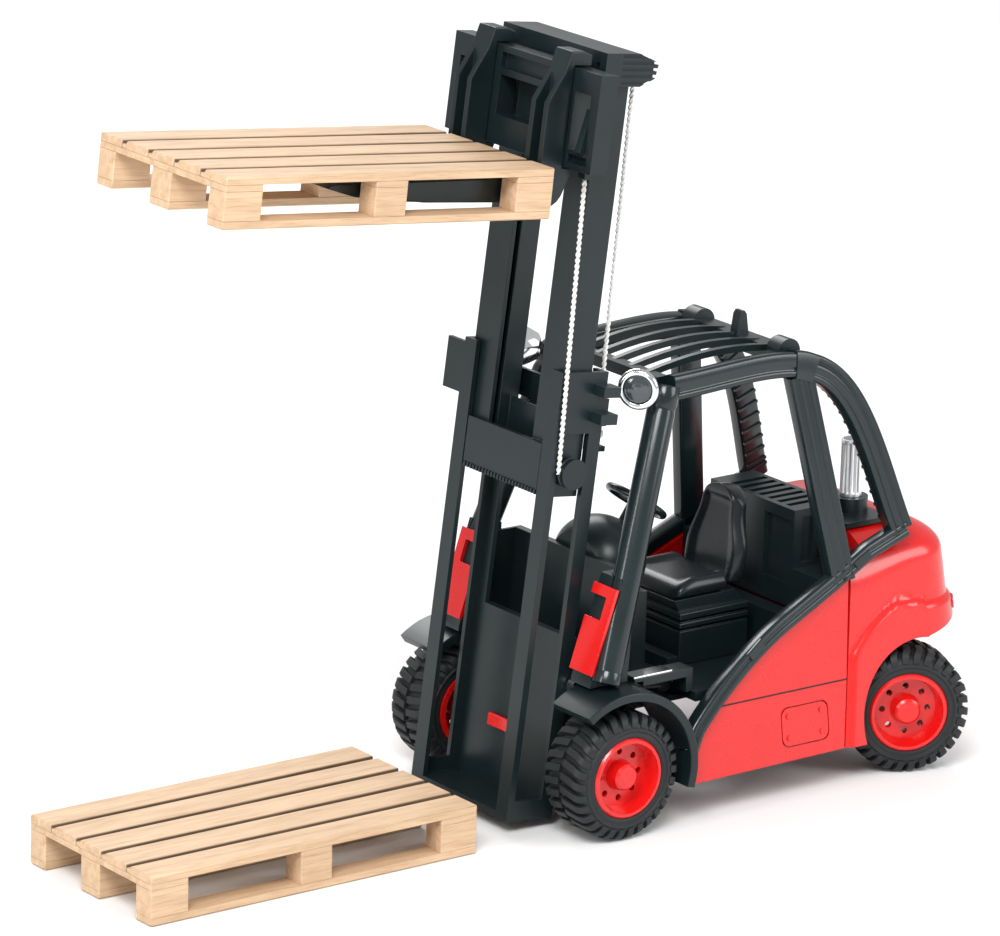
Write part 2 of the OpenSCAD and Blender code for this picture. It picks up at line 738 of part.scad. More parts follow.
module crosshead() {
    grooves = 5;
    cap_y = 24.5;
    color(black) on_mast() {
        difference() {
            across(-cap_y, cap_y) polygon([
                [-24, crosshead_v], [-11, crosshead_v], [-5.8, 200.4],
                [-5, 205], [-9, 206.4], [-12, 207.5], [-24, 207.5]]);
            both_sides([-25, inner_y - sheet - 0.01, 190], [inner_back, inner_y + 0.01, inner_top]);
            for (i = [0 : grooves - 1]) both_sides(
                [-18, cap_y - 0.6, crosshead_v + 0.7 + i * 1.9], [0, cap_y + 1, crosshead_v + 1.6 + i * 1.9]);
            for (i = [1 : grooves - 2])
                block([-6.3, -30, crosshead_v + 0.7 + i * 1.9], [0, 30, crosshead_v + 1.6 + i * 1.9]);
            lift_cord_line();
        }
        across(-10.4, 10.4)
            polygon([[-16, 190], [-13.2, 190], [-12, 194], [-11, crosshead_v], [-16, crosshead_v]]);
    }
}

pulley_u = -17.35;
pulley_v = 85.5;
module cord_pulleys() {
    color(black) on_mast() for (side = [left, right]) {
        y0 = side == left ? -25.8 : inner_y;
        difference() {
            y_rod(4.5, y0, y0 + 4.3, pulley_u, pulley_v);
            translate([pulley_u, side * 24.2, pulley_v]) rotate([90, 0, 0])
                rotate_extrude() translate([4.9, 0]) circle(r = 0.9, $fn = 16);
        }
    }
}

carriage_front = -33;
carriage_back = -27;
carriage_low = 174.5;
carriage_high = 203;
guide_back = -19.6;
module carriage() {
    half = carriage_w / 2;
    color(black) on_mast() {
        difference() {
            block([carriage_front, -half, carriage_low], [carriage_back, half, carriage_high]);
            // the middle window and the two outer ones
            block([-40, -11.5, 183], [-20, 11.5, 194.5]);
            both_sides([-40, 23.5, 180], [-20, 31, 196.5]);
            // shallow pockets in the front face
            both_sides([-40, 23.5, 176.5], [carriage_front + 2, 32, 178.8]);
            block([-40, -12, 196.5], [carriage_front + 2, 12, 201]);
        }
        // guide: a thin plate that runs in the slots of the inner mast, and its two arms
        block([carriage_back, -9.7, 177], [guide_back, 9.7, 182.5]);
        block([carriage_back, -9.7, 177], [-24.6, 9.7, 196]);
        block([carriage_back, -9.7, 190.5], [guide_back, 9.7, 196]);
        block([-20.7, -17, 177], [guide_back, 17, 196]);
        // clip for the return cord
        block([-28, -26.2, 171.5], [-25.2, -23, carriage_low]);
        // latch lever in the outer window
        translate([-31, -29.6, 181]) rotate([0, 12, 0]) block([-3.4, -1.2, -1.6], [0, 1.2, 11]);
    }
}

fork_half = 4;
blade_top = 171.6;
blade_tip = -114;
droop = 1.2;
module fork(side) {
    gap = 0.3;
    front = -41;
    function sag(u) = (front - u) * tan(droop);
    color(black) on_mast() translate([0, side * fork_y, 0]) difference() {
        across(-fork_half, fork_half) polygon(concat(
            [[carriage_front - gap, carriage_high + gap], [carriage_back - gap, carriage_high + gap],
             [carriage_back - gap, carriage_high + 3.5], [-30, 207.5], [-34.5, 207.5], [-36, 202], [front, 193],
             [front, blade_top], [blade_tip + 1.5, blade_top - 0.5 - sag(blade_tip)],
             [blade_tip, blade_top - 1.6 - sag(blade_tip)], [-104, blade_top - 4.3 - sag(-104)],
             [-80, blade_top - 6.4 - sag(-80)], [-50, blade_top - 7.3]],
            arc([-38.5, 169.4], 7, 225, 345, 8),
            [[-29.6, carriage_low - gap], [carriage_front - gap, carriage_low - gap]]));
        // channel down the front of the shank
        block([front - 1, -1.9, 174.5], [front + 4.4, 1.9, 205]);
    }
}
module fork_left() { fork(left); }
module fork_right() { fork(right); }

// The cord that lifts: from the crosshead down to its knot on the outer mast
lift_at = [-5, -18, 96];
lift_top_u = -8.4;
cord_r = 0.7;
module lift_cord_line() {
    bar(lift_at, [lift_top_u, lift_at[1], crosshead_v + 1.1], cord_r);
    translate(lift_at - [0, 0, 0.6]) sphere(r = 1.9);
}
module lift_cord() { color(cord_white) on_mast() lift_cord_line(); }
// The cord that pulls back: from the carriage down to the pulley at the inner mast's foot
module return_cord() {
    color(cord_white) on_mast() bar([-26.6, -24.6, 171.5], [pulley_u - 4.9, -24.2, pulley_v], cord_r);
}

// ---------------------------------------------------------------- pallets

board_t = 2.3;
cross_t = 1.8;
// A pallet lies with its rear edge at x = 0 and its underside at z = 0.
module deck() {
    boards = 5;
    gap = 1.5;
    w = (pallet_w - (boards - 1) * gap) / boards;
    for (i = [0 : boards - 1]) translate([-pallet_l, -pallet_w / 2 + i * (w + gap), pallet_h - board_t])
        cube([pallet_l, w, board_t]);
    for (x = block_places())
        block([x[0], -pallet_w / 2, pallet_h - board_t - cross_t], [x[1], pallet_w / 2, pallet_h - board_t]);
}
function block_places() = let (end = 12.5, mid = 10.7) [
    [-pallet_l, -pallet_l + end], [-(pallet_l + mid) / 2, -(pallet_l - mid) / 2], [-end, 0]];
module base() {
    outer = 7.8;
    mid = 9.4;
    half = pallet_w / 2;
    for (y = [[-half, -half + outer], [-mid / 2, mid / 2], [half - outer, half]]) {
        block([-pallet_l, y[0], 0], [0, y[1], board_t]);
        for (x = block_places()) block([x[0], y[0], board_t], [x[1], y[1], pallet_h - board_t - cross_t]);
    }
}
pallet_v = blade_top + 0.3 + board_t + cross_t - pallet_h;
module on_forks() {
    on_mast() translate([pallet_rear_u, 0, blade_top + 0.3]) rotate([0, -droop, 0])
        translate([0, 0, pallet_v - blade_top - 0.3]) children();
}
module on_floor() { truck() translate([pallet_rear_u, 0, 0]) children(); }
module pallet_a_deck() { color(timber) on_forks() deck(); }
module pallet_a_base() { color(timber) on_forks() base(); }
module pallet_b_deck() { color(timber) on_floor() deck(); }
module pallet_b_base() { color(timber) on_floor() base(); }

chassis();
cab_tub();
side_panel_left();
side_panel_right();
hatch_left();
hatch_right();
counterweight();
engine_cover();
fender_left();
fender_right();
cowl();
cowl_trims();
dashboard();
seat_base();
seat_cushion();
seat_back();
step_plates();
a_pillar_left();
a_pillar_right();
b_pillar_left();
b_pillar_right();
roof_rail_left();
roof_rail_right();
rear_arc_left();
rear_arc_right();
sill_rail_left();
sill_rail_right();
roof_grille();
lamps();
lamp_lenses();
exhaust();
front_axle();
rear_axle();
rim_front_left();
rim_front_right();
rim_rear_left();
rim_rear_right();
tyre_front_left();
tyre_front_right();
tyre_rear_left();
tyre_rear_right();
knuckle_left();
knuckle_right();
tie_rod();
steering_wheel();
outer_mast();
tilt_barrels();
tilt_rods();
inner_mast();
crosshead();
cord_pulleys();
carriage();
fork_left();
fork_right();
lift_cord();
return_cord();
pallet_a_deck();
pallet_a_base();
pallet_b_deck();
pallet_b_base();
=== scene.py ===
"""Looks of the 1:16 toy forklift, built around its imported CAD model.

Lengths here are in millimetres; MM turns them into the frame's metres.
"""
import json
import math

import bmesh
import bpy
from mathutils import Matrix, Vector


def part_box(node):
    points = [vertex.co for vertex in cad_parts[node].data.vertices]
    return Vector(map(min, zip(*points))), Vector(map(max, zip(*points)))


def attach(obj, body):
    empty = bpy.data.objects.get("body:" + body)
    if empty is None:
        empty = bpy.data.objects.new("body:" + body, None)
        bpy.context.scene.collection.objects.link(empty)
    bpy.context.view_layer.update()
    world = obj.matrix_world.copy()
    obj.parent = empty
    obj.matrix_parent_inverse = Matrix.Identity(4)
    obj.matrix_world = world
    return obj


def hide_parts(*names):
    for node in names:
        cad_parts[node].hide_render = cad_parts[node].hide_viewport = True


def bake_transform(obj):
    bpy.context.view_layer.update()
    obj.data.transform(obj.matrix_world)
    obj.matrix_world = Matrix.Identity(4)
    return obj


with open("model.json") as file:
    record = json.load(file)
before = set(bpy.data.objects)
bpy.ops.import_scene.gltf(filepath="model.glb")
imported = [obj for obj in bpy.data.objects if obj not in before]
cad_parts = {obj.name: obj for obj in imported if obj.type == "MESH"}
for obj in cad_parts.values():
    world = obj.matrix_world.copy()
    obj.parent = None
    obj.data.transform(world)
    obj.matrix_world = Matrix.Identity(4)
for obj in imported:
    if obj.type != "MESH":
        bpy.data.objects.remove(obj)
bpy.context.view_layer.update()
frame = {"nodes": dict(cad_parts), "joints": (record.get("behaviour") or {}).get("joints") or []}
MM = 0.001
SIDES = {"left": -1, "right": 1}
JOINTS = {joint["name"]: joint for joint in frame["joints"]}
ACROSS, UP = Vector((0, 1, 0)), Vector((0, 0, 1))


# ---------------------------------------------------------------- places

def middle(node):
    """The middle of a CAD node's box, in millimetres."""
    low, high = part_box(node)
    return (low + high) / 2 / MM


AXLE = middle("front_axle")
LIFT = Vector(JOINTS["mast_lift"]["axis"])
TILT = math.atan2(LIFT.x, LIFT.z)


def truck(x, y, z):
    """A point given from the front axle's middle line and the floor."""
    return Vector((AXLE.x + x, y, z)) * MM


def mast(u, y, v):
    """A point on the leaning mast: u runs back and v up it, from the tilt pivot."""
    c, s = math.cos(TILT), math.sin(TILT)
    return Vector((AXLE.x + u * c + v * s, y, AXLE.z + v * c - u * s)) * MM


# The cab's side frames stand in two planes that lean in.
FRAME_Y, FRAME_Z, LEAN = 40.0, 35.0, math.radians(8.5)


def lean_y(z):
    """How far a side frame's plane stands from the middle at height z."""
    return FRAME_Y - (z - FRAME_Z) * math.tan(LEAN)


def on_frame(side, x, z, out=0.0):
    """A point on a side frame's plane, moved out of it by out."""
    return truck(x, side * (lean_y(z) + out * math.cos(LEAN)), z + out * math.sin(LEAN))


def curve(a, b, c, d, n=12):
    """Points on a cubic from a to d."""
    found = []
    for i in range(n + 1):
        t = i / n
        s = 1 - t
        found.append(tuple(s**3 * p + 3 * s * s * t * q + 3 * s * t * t * r + t**3 * w
                           for p, q, r, w in zip(a, b, c, d)))
    return found


def spaced(line, step=1.6):
    """The same line with points no further apart than step."""
    found = [line[0]]
    for a, b in zip(line, line[1:]):
        n = max(1, math.ceil(math.hypot(b[0] - a[0], b[1] - a[1]) / step))
        found += [tuple(p + (q - p) * i / n for p, q in zip(a, b)) for i in range(1, n + 1)]
    return found


def fade(t):
    """0 below 0, 1 above 1, and a smooth step between."""
    t = min(max(t, 0.0), 1.0)
    return t * t * (3 - 2 * t)


def angles(n):
    """n angles spread over a full turn."""
    return [2 * math.pi * i / n for i in range(n)]


def circle(centre, a, b, r, n):
    """n points round centre, in the plane of the unit vectors a and b."""
    return [centre + (a * math.cos(q) + b * math.sin(q)) * r * MM for q in angles(n)]


def square_to(along, guide):
    """Two unit vectors square to along, the first of them square to guide as well."""
    first = along.cross(guide).normalized()
    return first, along.cross(first)


# ---------------------------------------------------------------- mesh building

class Shape:
    """Vertices and faces of one piece.

    At each vertex, grain is the wood's own coordinate and the shade value is painted shade: 1 for
    none, lower where a gap's shadow is painted on.
    """

    def __init__(self):
        self.points, self.faces, self.grain, self.tone = [], [], [], []

    def add(self, points, faces, grain=None, tone=None):
        first = len(self.points)
        self.points += points
        self.faces += [tuple(first + i for i in face) for face in faces]
        self.grain += grain or [(0, 0, 0)] * len(points)
        self.tone += tone or [1.0] * len(points)

    def loft(self, rings, closed=True, caps=True, loop=False):
        """Skins a list of rings that have the same number of points."""
        n = len(rings[0])
        faces = []
        for i in range(len(rings) if loop else len(rings) - 1):
            a, b = i * n, (i + 1) % len(rings) * n
            for j in range(n if closed else n - 1):
                k = (j + 1) % n
                faces.append((a + j, a + k, b + k, b + j))
        if caps and closed and not loop:
            faces.append(tuple(reversed(range(n))))
            faces.append(tuple((len(rings) - 1) * n + j for j in range(n)))
        self.add([p for ring in rings for p in ring], faces)

    def block(self, low, high, place, edge=0.3, shift=(0, 0, 0), rise=None, flank_shade=(1.0, 1.0)):
        """A box with chamfered edges, its corners given in place's own coordinates.

        rise is the chamfer's height at the bottom and at the top. The last argument is the painted
        shade of the two sides across y, lower where it stands for the shadow in a gap.
        """
        corners = [(cx, cy, cz) for cx in (0, 1) for cy in (0, 1) for cz in (0, 1)]
        bottom, top = rise or (edge, edge)
        points, grain, tone, index = [], [], [], {}
        # Each corner of the box has three points, one on each face that meets there.
        for ends in corners:
            corner = [(low, high)[end][i] for i, end in enumerate(ends)]
            inset = (edge, edge, top if ends[2] else bottom)
            inner = [v - e if end else v + e for v, end, e in zip(corner, ends, inset)]
            for axis in range(3):
                p = list(inner)
                p[axis] = corner[axis]
                index[(*ends, axis)] = len(points)
                points.append(place(*p))
                grain.append(tuple(a + b for a, b in zip(p, shift)))
                # Points on the faces across y take their side's painted shade.
                tone.append(flank_shade[ends[1]] if axis == 1 else 1.0)
        faces = []
        for axis in range(3):
            others = [i for i in range(3) if i != axis]

            def at(end, a, b, which):
                ends = [0, 0, 0]
                ends[axis], ends[others[0]], ends[others[1]] = end, a, b
                return index[(*ends, which)]
            for end in (0, 1):
                faces.append((at(end, 0, 0, axis), at(end, 1, 0, axis),
                              at(end, 1, 1, axis), at(end, 0, 1, axis)))
            for a in (0, 1):
                for b in (0, 1):
                    faces.append((at(0, a, b, others[0]), at(1, a, b, others[0]),
                                  at(1, a, b, others[1]), at(0, a, b, others[1])))
        faces += [tuple(index[(*ends, axis)] for axis in range(3)) for ends in corners]
        self.add(points, faces, grain, tone)


def bare_mesh(name, shape):
    """A mesh of a shape's points and faces."""
    mesh = bpy.data.meshes.new(name)
    mesh.from_pydata([tuple(p) for p in shape.points], [], shape.faces)
    return mesh


def fix_normals(mesh):
    """Turns every face outwards."""
    bm = bmesh.new()
    bm.from_mesh(mesh)
    bmesh.ops.recalc_face_normals(bm, faces=bm.faces)
    bm.to_mesh(mesh)
    bm.free()


def link(name, data):
    """A new object in the scene."""
    obj = bpy.data.objects.new(name, data)
    bpy.context.scene.collection.objects.link(obj)
    return obj


def smooth(mesh, angle=35):
    """Smooth shading that keeps edges sharper than angle."""
    if "custom_normal" in mesh.attributes:
        mesh.attributes.remove(mesh.attributes["custom_normal"])
    mesh.polygons.foreach_set("use_smooth", [True] * len(mesh.polygons))
    mesh.set_sharp_from_angle(angle=math.radians(angle))


def bevel(obj, width, angle=35):
    """Rounds the edges that are sharper than angle."""
    modifier = obj.modifiers.new("edges", "BEVEL")
    modifier.width = width * MM
    modifier.segments = 2
    modifier.limit_method = "ANGLE"
    modifier.angle_limit = math.radians(angle)
    modifier.harden_normals = True


def piece(name, shape, material, body=None, replaces=(), edge=0.0, angle=35, subdivide=0):
    """Makes an object of a shape, puts it on the body it rides on and hides the CAD nodes it stands
    for.
    """
    mesh = bare_mesh(name, shape)
    if any(any(g) for g in shape.grain):
        attribute = mesh.attributes.new("grain", "FLOAT_VECTOR", "POINT")
        attribute.data.foreach_set("vector", [c for g in shape.grain for c in g])
        # The painted shade goes into a point attribute beside the grain, for the wood shader to
        # darken by.
        attribute = mesh.attributes.new("tone", "FLOAT", "POINT")
        attribute.data.foreach_set("value", shape.tone)
    fix_normals(mesh)
    mesh.materials.append(material)
    obj = link(name, mesh)
    smooth(mesh, angle)
    if subdivide:
        modifier = obj.modifiers.new("round", "SUBSURF")
        modifier.levels = modifier.render_levels = subdivide
    if edge:
        bevel(obj, edge, angle)
    if body:
        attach(obj, body)
    if replaces:
        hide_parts(*replaces)
    return obj


def keep_cad(node, material, edge):
    """Gives a CAD node its material and eases its edges."""
    obj = frame["nodes"][node]
    obj.data.materials.clear()
    obj.data.materials.append(material)
    weld = obj.modifiers.new("weld", "WELD")
    weld.merge_threshold = 0.002 * MM
    smooth(obj.data)
    bevel(obj, edge)


# ---------------------------------------------------------------- materials

def nodes_of(name, slot):
    """A new material with its node tree and its shader."""
    material = bpy.data.materials.new(name)
    material.use_nodes = True
    material["slot"] = slot
    tree = material.node_tree
    shader = next(n for n in tree.nodes if n.type == "BSDF_PRINCIPLED")
    return material, tree, shader


def noise(tree, vector, scale, detail=3.0, distortion=0.0, stretch=None):
    """A noise texture on vector; stretch scales its axes first."""
    if stretch:
        mapping = tree.nodes.new("ShaderNodeMapping")
        mapping.inputs["Scale"].default_value = stretch
        tree.links.new(vector, mapping.inputs["Vector"])
        vector = mapping.outputs["Vector"]
    texture = tree.nodes.new("ShaderNodeTexNoise")
    texture.inputs["Scale"].default_value = scale
    texture.inputs["Detail"].default_value = detail
    texture.inputs["Distortion"].default_value = distortion
    tree.links.new(vector, texture.inputs["Vector"])
    return texture.outputs["Fac"]


def mixed(tree, factor, dark, light, low=0.25, high=0.75):
    """A colour between dark and light."""
    ramp = tree.nodes.new("ShaderNodeValToRGB")
    ramp.color_ramp.elements[0].position = low
    ramp.color_ramp.elements[1].position = high
    ramp.color_ramp.elements[0].color = (*dark, 1)
    ramp.color_ramp.elements[1].color = (*light, 1)
    tree.links.new(factor, ramp.inputs["Fac"])
    return ramp.outputs["Color"]


def spread(tree, factor, low, high):
    """Maps a noise to the range low to high."""
    remap = tree.nodes.new("ShaderNodeMapRange")
    remap.inputs["From Min"].default_value = 0.2
    remap.inputs["From Max"].default_value = 0.8
    remap.inputs["To Min"].default_value = low
    remap.inputs["To Max"].default_value = high
    tree.links.new(factor, remap.inputs["Value"])
    return remap.outputs["Result"]


def bumped(tree, shader, height, strength, distance):
    """Relief from a height, distance millimetres deep."""
    bump = tree.nodes.new("ShaderNodeBump")
    bump.inputs["Strength"].default_value = strength
    bump.inputs["Distance"].default_value = distance * MM
    tree.links.new(height, bump.inputs["Height"])
    tree.links.new(bump.outputs["Normal"], shader.inputs["Normal"])


def moulded(name, slot, dark, light, rough, grain=2200, strength=0.10, coat=0.0, metal=0.0,
            specular=0.5):
    """Moulded plastic, rubber or plating: a slight mottle, uneven gloss and a fine grain."""
    material, tree, shader = nodes_of(name, slot)
    where = tree.nodes.new("ShaderNodeTexCoord").outputs["Object"]
    shader.inputs["Metallic"].default_value = metal
    shader.inputs["Specular IOR Level"].default_value = specular
    shader.inputs["Coat Weight"].default_value = coat
    shader.inputs["Coat Roughness"].default_value = 0.12
    mottle = mixed(tree, noise(tree, where, 55, 4), dark, light)
    gloss = spread(tree, noise(tree, where, 90, 3), rough - 0.025, rough + 0.035)
    tree.links.new(mottle, shader.inputs["Base Color"])
    tree.links.new(gloss, shader.inputs["Roughness"])
    bumped(tree, shader, noise(tree, where, grain, 3), strength, 0.05)
    return material


def blended(tree, kind, factor, a, b):
    """A colour mix of a and b; factor is a number or a socket."""
    mix = tree.nodes.new("ShaderNodeMix")
    mix.data_type = "RGBA"
    mix.blend_type = kind
    for socket, value in ((mix.inputs["Factor"], factor), (mix.inputs[6], a), (mix.inputs[7], b)):
        if isinstance(value, (float, tuple)):
            socket.default_value = value
        else:
            tree.links.new(value, socket)
    return mix.outputs[2]


def wood(name):
    """Wood-look plastic: streaks along each board, fine fibres in relief, and painted shade
    darkening the boards' inner sides for the shadow in the gaps.
    """
    material, tree, shader = nodes_of(name, "pallet_wood")
    grain = tree.nodes.new("ShaderNodeAttribute")
    grain.attribute_name = "grain"
    where = grain.outputs["Vector"]
    streaks = noise(tree, where, 0.30, 6, 0.9, stretch=(0.10, 1.0, 1.0))
    timber = mixed(tree, streaks, (0.505, 0.332, 0.196), (0.650, 0.458, 0.290), 0.30, 0.70)
    fine = noise(tree, where, 2.6, 4, 0.3, stretch=(0.05, 1.0, 1.0))
    veins = mixed(tree, fine, (0.80, 0.745, 0.69), (1.0, 1.0, 1.0), 0.30, 0.50)
    tone = tree.nodes.new("ShaderNodeAttribute")
    tone.attribute_name = "tone"
    colour = blended(tree, "MULTIPLY", 0.8, timber, veins)
    # Painted shade: where the shade value is low the wood turns near-black brown, standing for the
    # shadow inside the gaps between boards.
    colour = blended(tree, "MIX", tone.outputs["Fac"], (0.045, 0.028, 0.018, 1), colour)
    tree.links.new(colour, shader.inputs["Base Color"])
    tree.links.new(spread(tree, fine, 0.62, 0.5), shader.inputs["Roughness"])
    bumped(tree, shader, fine, 0.35, 0.12)
    return material


def twisted(name):
    """White cotton cord: soft, slightly uneven, with fine fibres."""
    material, tree, shader = nodes_of(name, "cord")
    where = tree.nodes.new("ShaderNodeTexCoord").outputs["Object"]
    shader.inputs["Roughness"].default_value = 0.85
    shader.inputs["Sheen Weight"].default_value = 0.35
    cotton = mixed(tree, noise(tree, where, 900, 4), (0.62, 0.62, 0.60), (0.86, 0.86, 0.84))
    tree.links.new(cotton, shader.inputs["Base Color"])
    bumped(tree, shader, noise(tree, where, 5200, 2), 0.4, 0.06)
    return material


BLACK = moulded("black_plastic", "black_plastic", (0.0052, 0.0112, 0.0126),
                (0.0092, 0.0176, 0.0196), 0.33, specular=0.38)
BLACK_GLOSS = moulded("frame_plastic", "black_plastic", (0.0058, 0.0126, 0.0140),
                      (0.0096, 0.0180, 0.0200), 0.21, strength=0.05, specular=0.5)
RED = moulded("red_plastic", "red_plastic", (0.62, 0.0050, 0.0045), (0.66, 0.0075, 0.0066), 0.27,
              grain=1500, strength=0.025, coat=0.3)
CHROME = moulded("chrome", "chrome", (0.62, 0.65, 0.68), (0.86, 0.88, 0.90), 0.14,
                 grain=1500, strength=0.03, metal=1.0)
PLATED = moulded("ribbed_plating", "chrome", (0.74, 0.76, 0.78), (0.93, 0.94, 0.95), 0.38,
                 grain=1500, strength=0.03, metal=1.0)
RUBBER = moulded("tyre_rubber", "tyre_rubber", (0.0085, 0.0110, 0.0125),
                 (0.0165, 0.0195, 0.0210), 0.55, grain=1800, strength=0.22, specular=0.35)
SEAT = moulded("seat_plastic", "seat_plastic", (0.0065, 0.0095, 0.0115),
               (0.0105, 0.0150, 0.0175), 0.28, grain=3200, strength=0.16, specular=0.4)
LENS = moulded("lamp_lens", "lamp_lens", (0.018, 0.024, 0.030), (0.040, 0.048, 0.056), 0.10,
               grain=900, strength=0.06, coat=0.8)
LIGHT_RED = moulded("light_red", "red_plastic", (0.36, 0.004, 0.006), (0.52, 0.010, 0.010), 0.12,
                    grain=900, strength=0.05, coat=0.9)
WOOD = wood("pallet_wood")
CORD = twisted("cord")


# ---------------------------------------------------------------- camera, light and floor

def camera():
    """The photograph's view: a long lens, a slight downward look and a trace of roll."""
    azimuth, elevation, roll = math.radians(36.97), math.radians(16.32), math.radians(1.45)
    distance, lens, sensor = 1.8237, 227.9, 36.0
    target = Vector((-0.0059, 0, 0.1028))
    level = math.cos(elevation)
    forward = Vector((level * math.sin(azimuth), level * math.cos(azimuth), -math.sin(elevation)))
    flat_right = forward.cross(UP).normalized()
    flat_up = flat_right.cross(forward)
    right = flat_right * math.cos(roll) + flat_up * math.sin(roll)
    up = flat_up * math.cos(roll) - flat_right * math.sin(roll)
    data = bpy.data.cameras.new("camera")
    data.lens = lens
    data.sensor_width = sensor
    obj = link("camera", data)
    turn = Matrix((right, up, -forward)).transposed().to_4x4()
    obj.matrix_world = Matrix.Translation(target - forward * distance) @ turn
    bpy.context.scene.camera = obj


def area_light(name, place, aim, size, power):
    data = bpy.data.lights.new(name, "AREA")
    data.shape = "RECTANGLE"
    data.size, data.size_y = size
    data.energy = power
    obj = link(name, data)
    obj.location = place
    obj.rotation_euler = (Vector(aim) - Vector(place)).to_track_quat("-Z", "Y").to_euler()


def studio():
    """Four soft lights in a bright room."""
    aim = (0, 0, 0.09)
    area_light("key", (-0.75, -0.75, 1.15), aim, size=(0.7, 0.55), power=19)
    area_light("side", (-1.15, -0.15, 0.35), aim, size=(0.12, 0.9), power=4.5)
    area_light("fill", (0.9, -1.0, 0.6), aim, size=(0.7, 0.7), power=8)
    area_light("back", (0.35, 1.1, 0.9), aim, size=(0.9, 0.5), power=9)
    world = bpy.data.worlds.new("world")
    world.use_nodes = True
    background = world.node_tree.nodes["Background"]
    background.inputs["Color"].default_value = (1.0, 1.0, 1.0, 1)
    background.inputs["Strength"].default_value = 0.55
    bpy.context.scene.world = world
    bpy.context.scene.view_settings.view_transform = "Standard"


def floor():
    """A pale floor just under the wheels, in metres."""
    material, tree, shader = nodes_of("floor", "floor")
    where = tree.nodes.new("ShaderNodeTexCoord").outputs["Object"]
    shader.inputs["Roughness"].default_value = 0.75
    pale = mixed(tree, noise(tree, where, 4, 4), (0.86, 0.86, 0.86), (0.90, 0.90, 0.90))
    tree.links.new(pale, shader.inputs["Base Color"])
    half, cells, height = 6.0, 4, -0.0002
    steps = [-half + 2 * half * i / cells for i in range(cells + 1)]
    shape = Shape()
    shape.loft([[Vector((x, y, height)) for y in steps] for x in steps], closed=False)
    mesh = bare_mesh("floor", shape)
    mesh.materials.append(material)
    link("floor", mesh)


# ---------------------------------------------------------------- wheels

TYRE_R, RIM_R, TYRE_W = 19.0, 12.0, 17.6
WHEEL_OUT_Y, WHEEL_REACH = 46.6, 16.6


def wheel_frame(end, side_name):
    """A function from radius, angle and depth behind the outer face to a point on that wheel."""
    side = SIDES[side_name]
    if end == "front":
        centre = truck(0, side * WHEEL_OUT_Y, AXLE.z)
        out = Vector((0, side, 0))
    else:
        joint = JOINTS["spin_rear_" + side_name]
        out = Vector(joint["axis"]).normalized() * side
        centre = Vector(joint["pos_m"]) + out * WHEEL_REACH * MM
    along = out.cross(UP)

    def at(r, angle, depth):
        spoke = along * math.cos(angle) + UP * math.sin(angle)
        return centre - out * depth * MM + spoke * r * MM
    return at


def tyre(end, side_name):
    """A tyre with a bead, a raised ring and two staggered rows of swept lugs."""
    at = wheel_frame(end, side_name)
    half = TYRE_W / 2
    wall = [(RIM_R, 1.2), (RIM_R + 0.1, 0.5), (12.9, 0.25), (13.5, 0.45), (13.9, 0.45),
            (14.1, 0.08), (14.9, 0.08), (15.1, 0.45), (15.9, 0.7), (16.7, 1.5), (17.2, 2.6),
            (17.45, 4.2), (17.5, half)]
    profile = wall + [(r, TYRE_W - d) for r, d in reversed(wall[:-1])] + [(RIM_R, half)]
    shape = Shape()
    shape.loft([[at(r, a, d) for r, d in profile] for a in angles(96)], loop=True)
    lugs = 30
    pitch = 2 * math.pi / lugs
    top = [(15.35, 0.22), (16.6, 0.30), (17.9, 0.85), (18.7, 1.9), (TYRE_R, 3.2),
           (TYRE_R, half - 0.5)]
    foot = [(15.2, 0.9), (16.2, 1.6), (16.9, 2.4), (17.2, 3.0), (17.2, 4.0), (17.2, half - 0.5)]
    for flip in (False, True):
        for i in range(lugs):
            rings = []
            for k, ((rt, dt), (rf, df)) in enumerate(zip(top, foot)):
                share = k / (len(top) - 1)
                centre = (i + (0.5 if flip else 0) + 0.55 * share * share) * pitch
                wide = pitch * (0.30 - 0.03 * share)
                ring = [(rf, -wide * 1.12, df), (rt, -wide, dt), (rt, wide, dt),
                        (rf, wide * 1.12, df)]
                rings.append([at(r, centre + a, TYRE_W - d if flip else d) for r, a, d in ring])
            shape.loft(rings)
    piece(f"tyre_{end}_{side_name}_lugged", shape, RUBBER, f"wheel_{end}_{side_name}",
          [f"tyre_{end}_{side_name}"], edge=0.16, angle=30)


# ---------------------------------------------------------------- counterweight

ARCH_X, ARCH_Z, ARCH_R = 112.3, 18.3, 22.3
HOOD_TOP, HOOD_LOW = 73.0, 12.3
# Middle of the rounded rear corners, and how square they are.
HOOD_X, HOOD_Y, BACK_REACH, SQUARE = 116.5, 18.0, 0.905, 2.25
BAND = 1.35


def hood_reach(z, x=130.0):
    """How far out of its corner centre's line the hood stands at height z and place x."""
    shoulder = 58.5 + 5.0 * fade((x - 88) / 28)
    drop = 11.5 * max(0.0, (z - shoulder) / (HOOD_TOP - shoulder)) ** 2.4
    return lean_y(z) - HOOD_Y + BAND * flare(z, x) - drop


def flare(z, x):
    """1 on the raised band that follows the wheel arch and runs on round the back as a bumper."""
    if x < 106:
        above = math.hypot(x - ARCH_X, z - ARCH_Z) - 32.0 - 0.15 * max(0.0, x - 91)
    else:
        above = z - max(49.7, 51.9 - 0.1 * (x - 106))
    return 1 - fade((above + 0.6) / 1.6)


def hood_corner(z, angle, out=0.0):
    """A point of the right rear corner; the corner is a little squarer than an ellipse."""
    c, s = math.cos(angle), math.sin(angle)
    r = (abs(c) ** SQUARE + abs(s) ** SQUARE) ** (-1 / SQUARE) * hood_reach(z)
    return HOOD_X + r * c * BACK_REACH + out * c, HOOD_Y + r * s + out * s


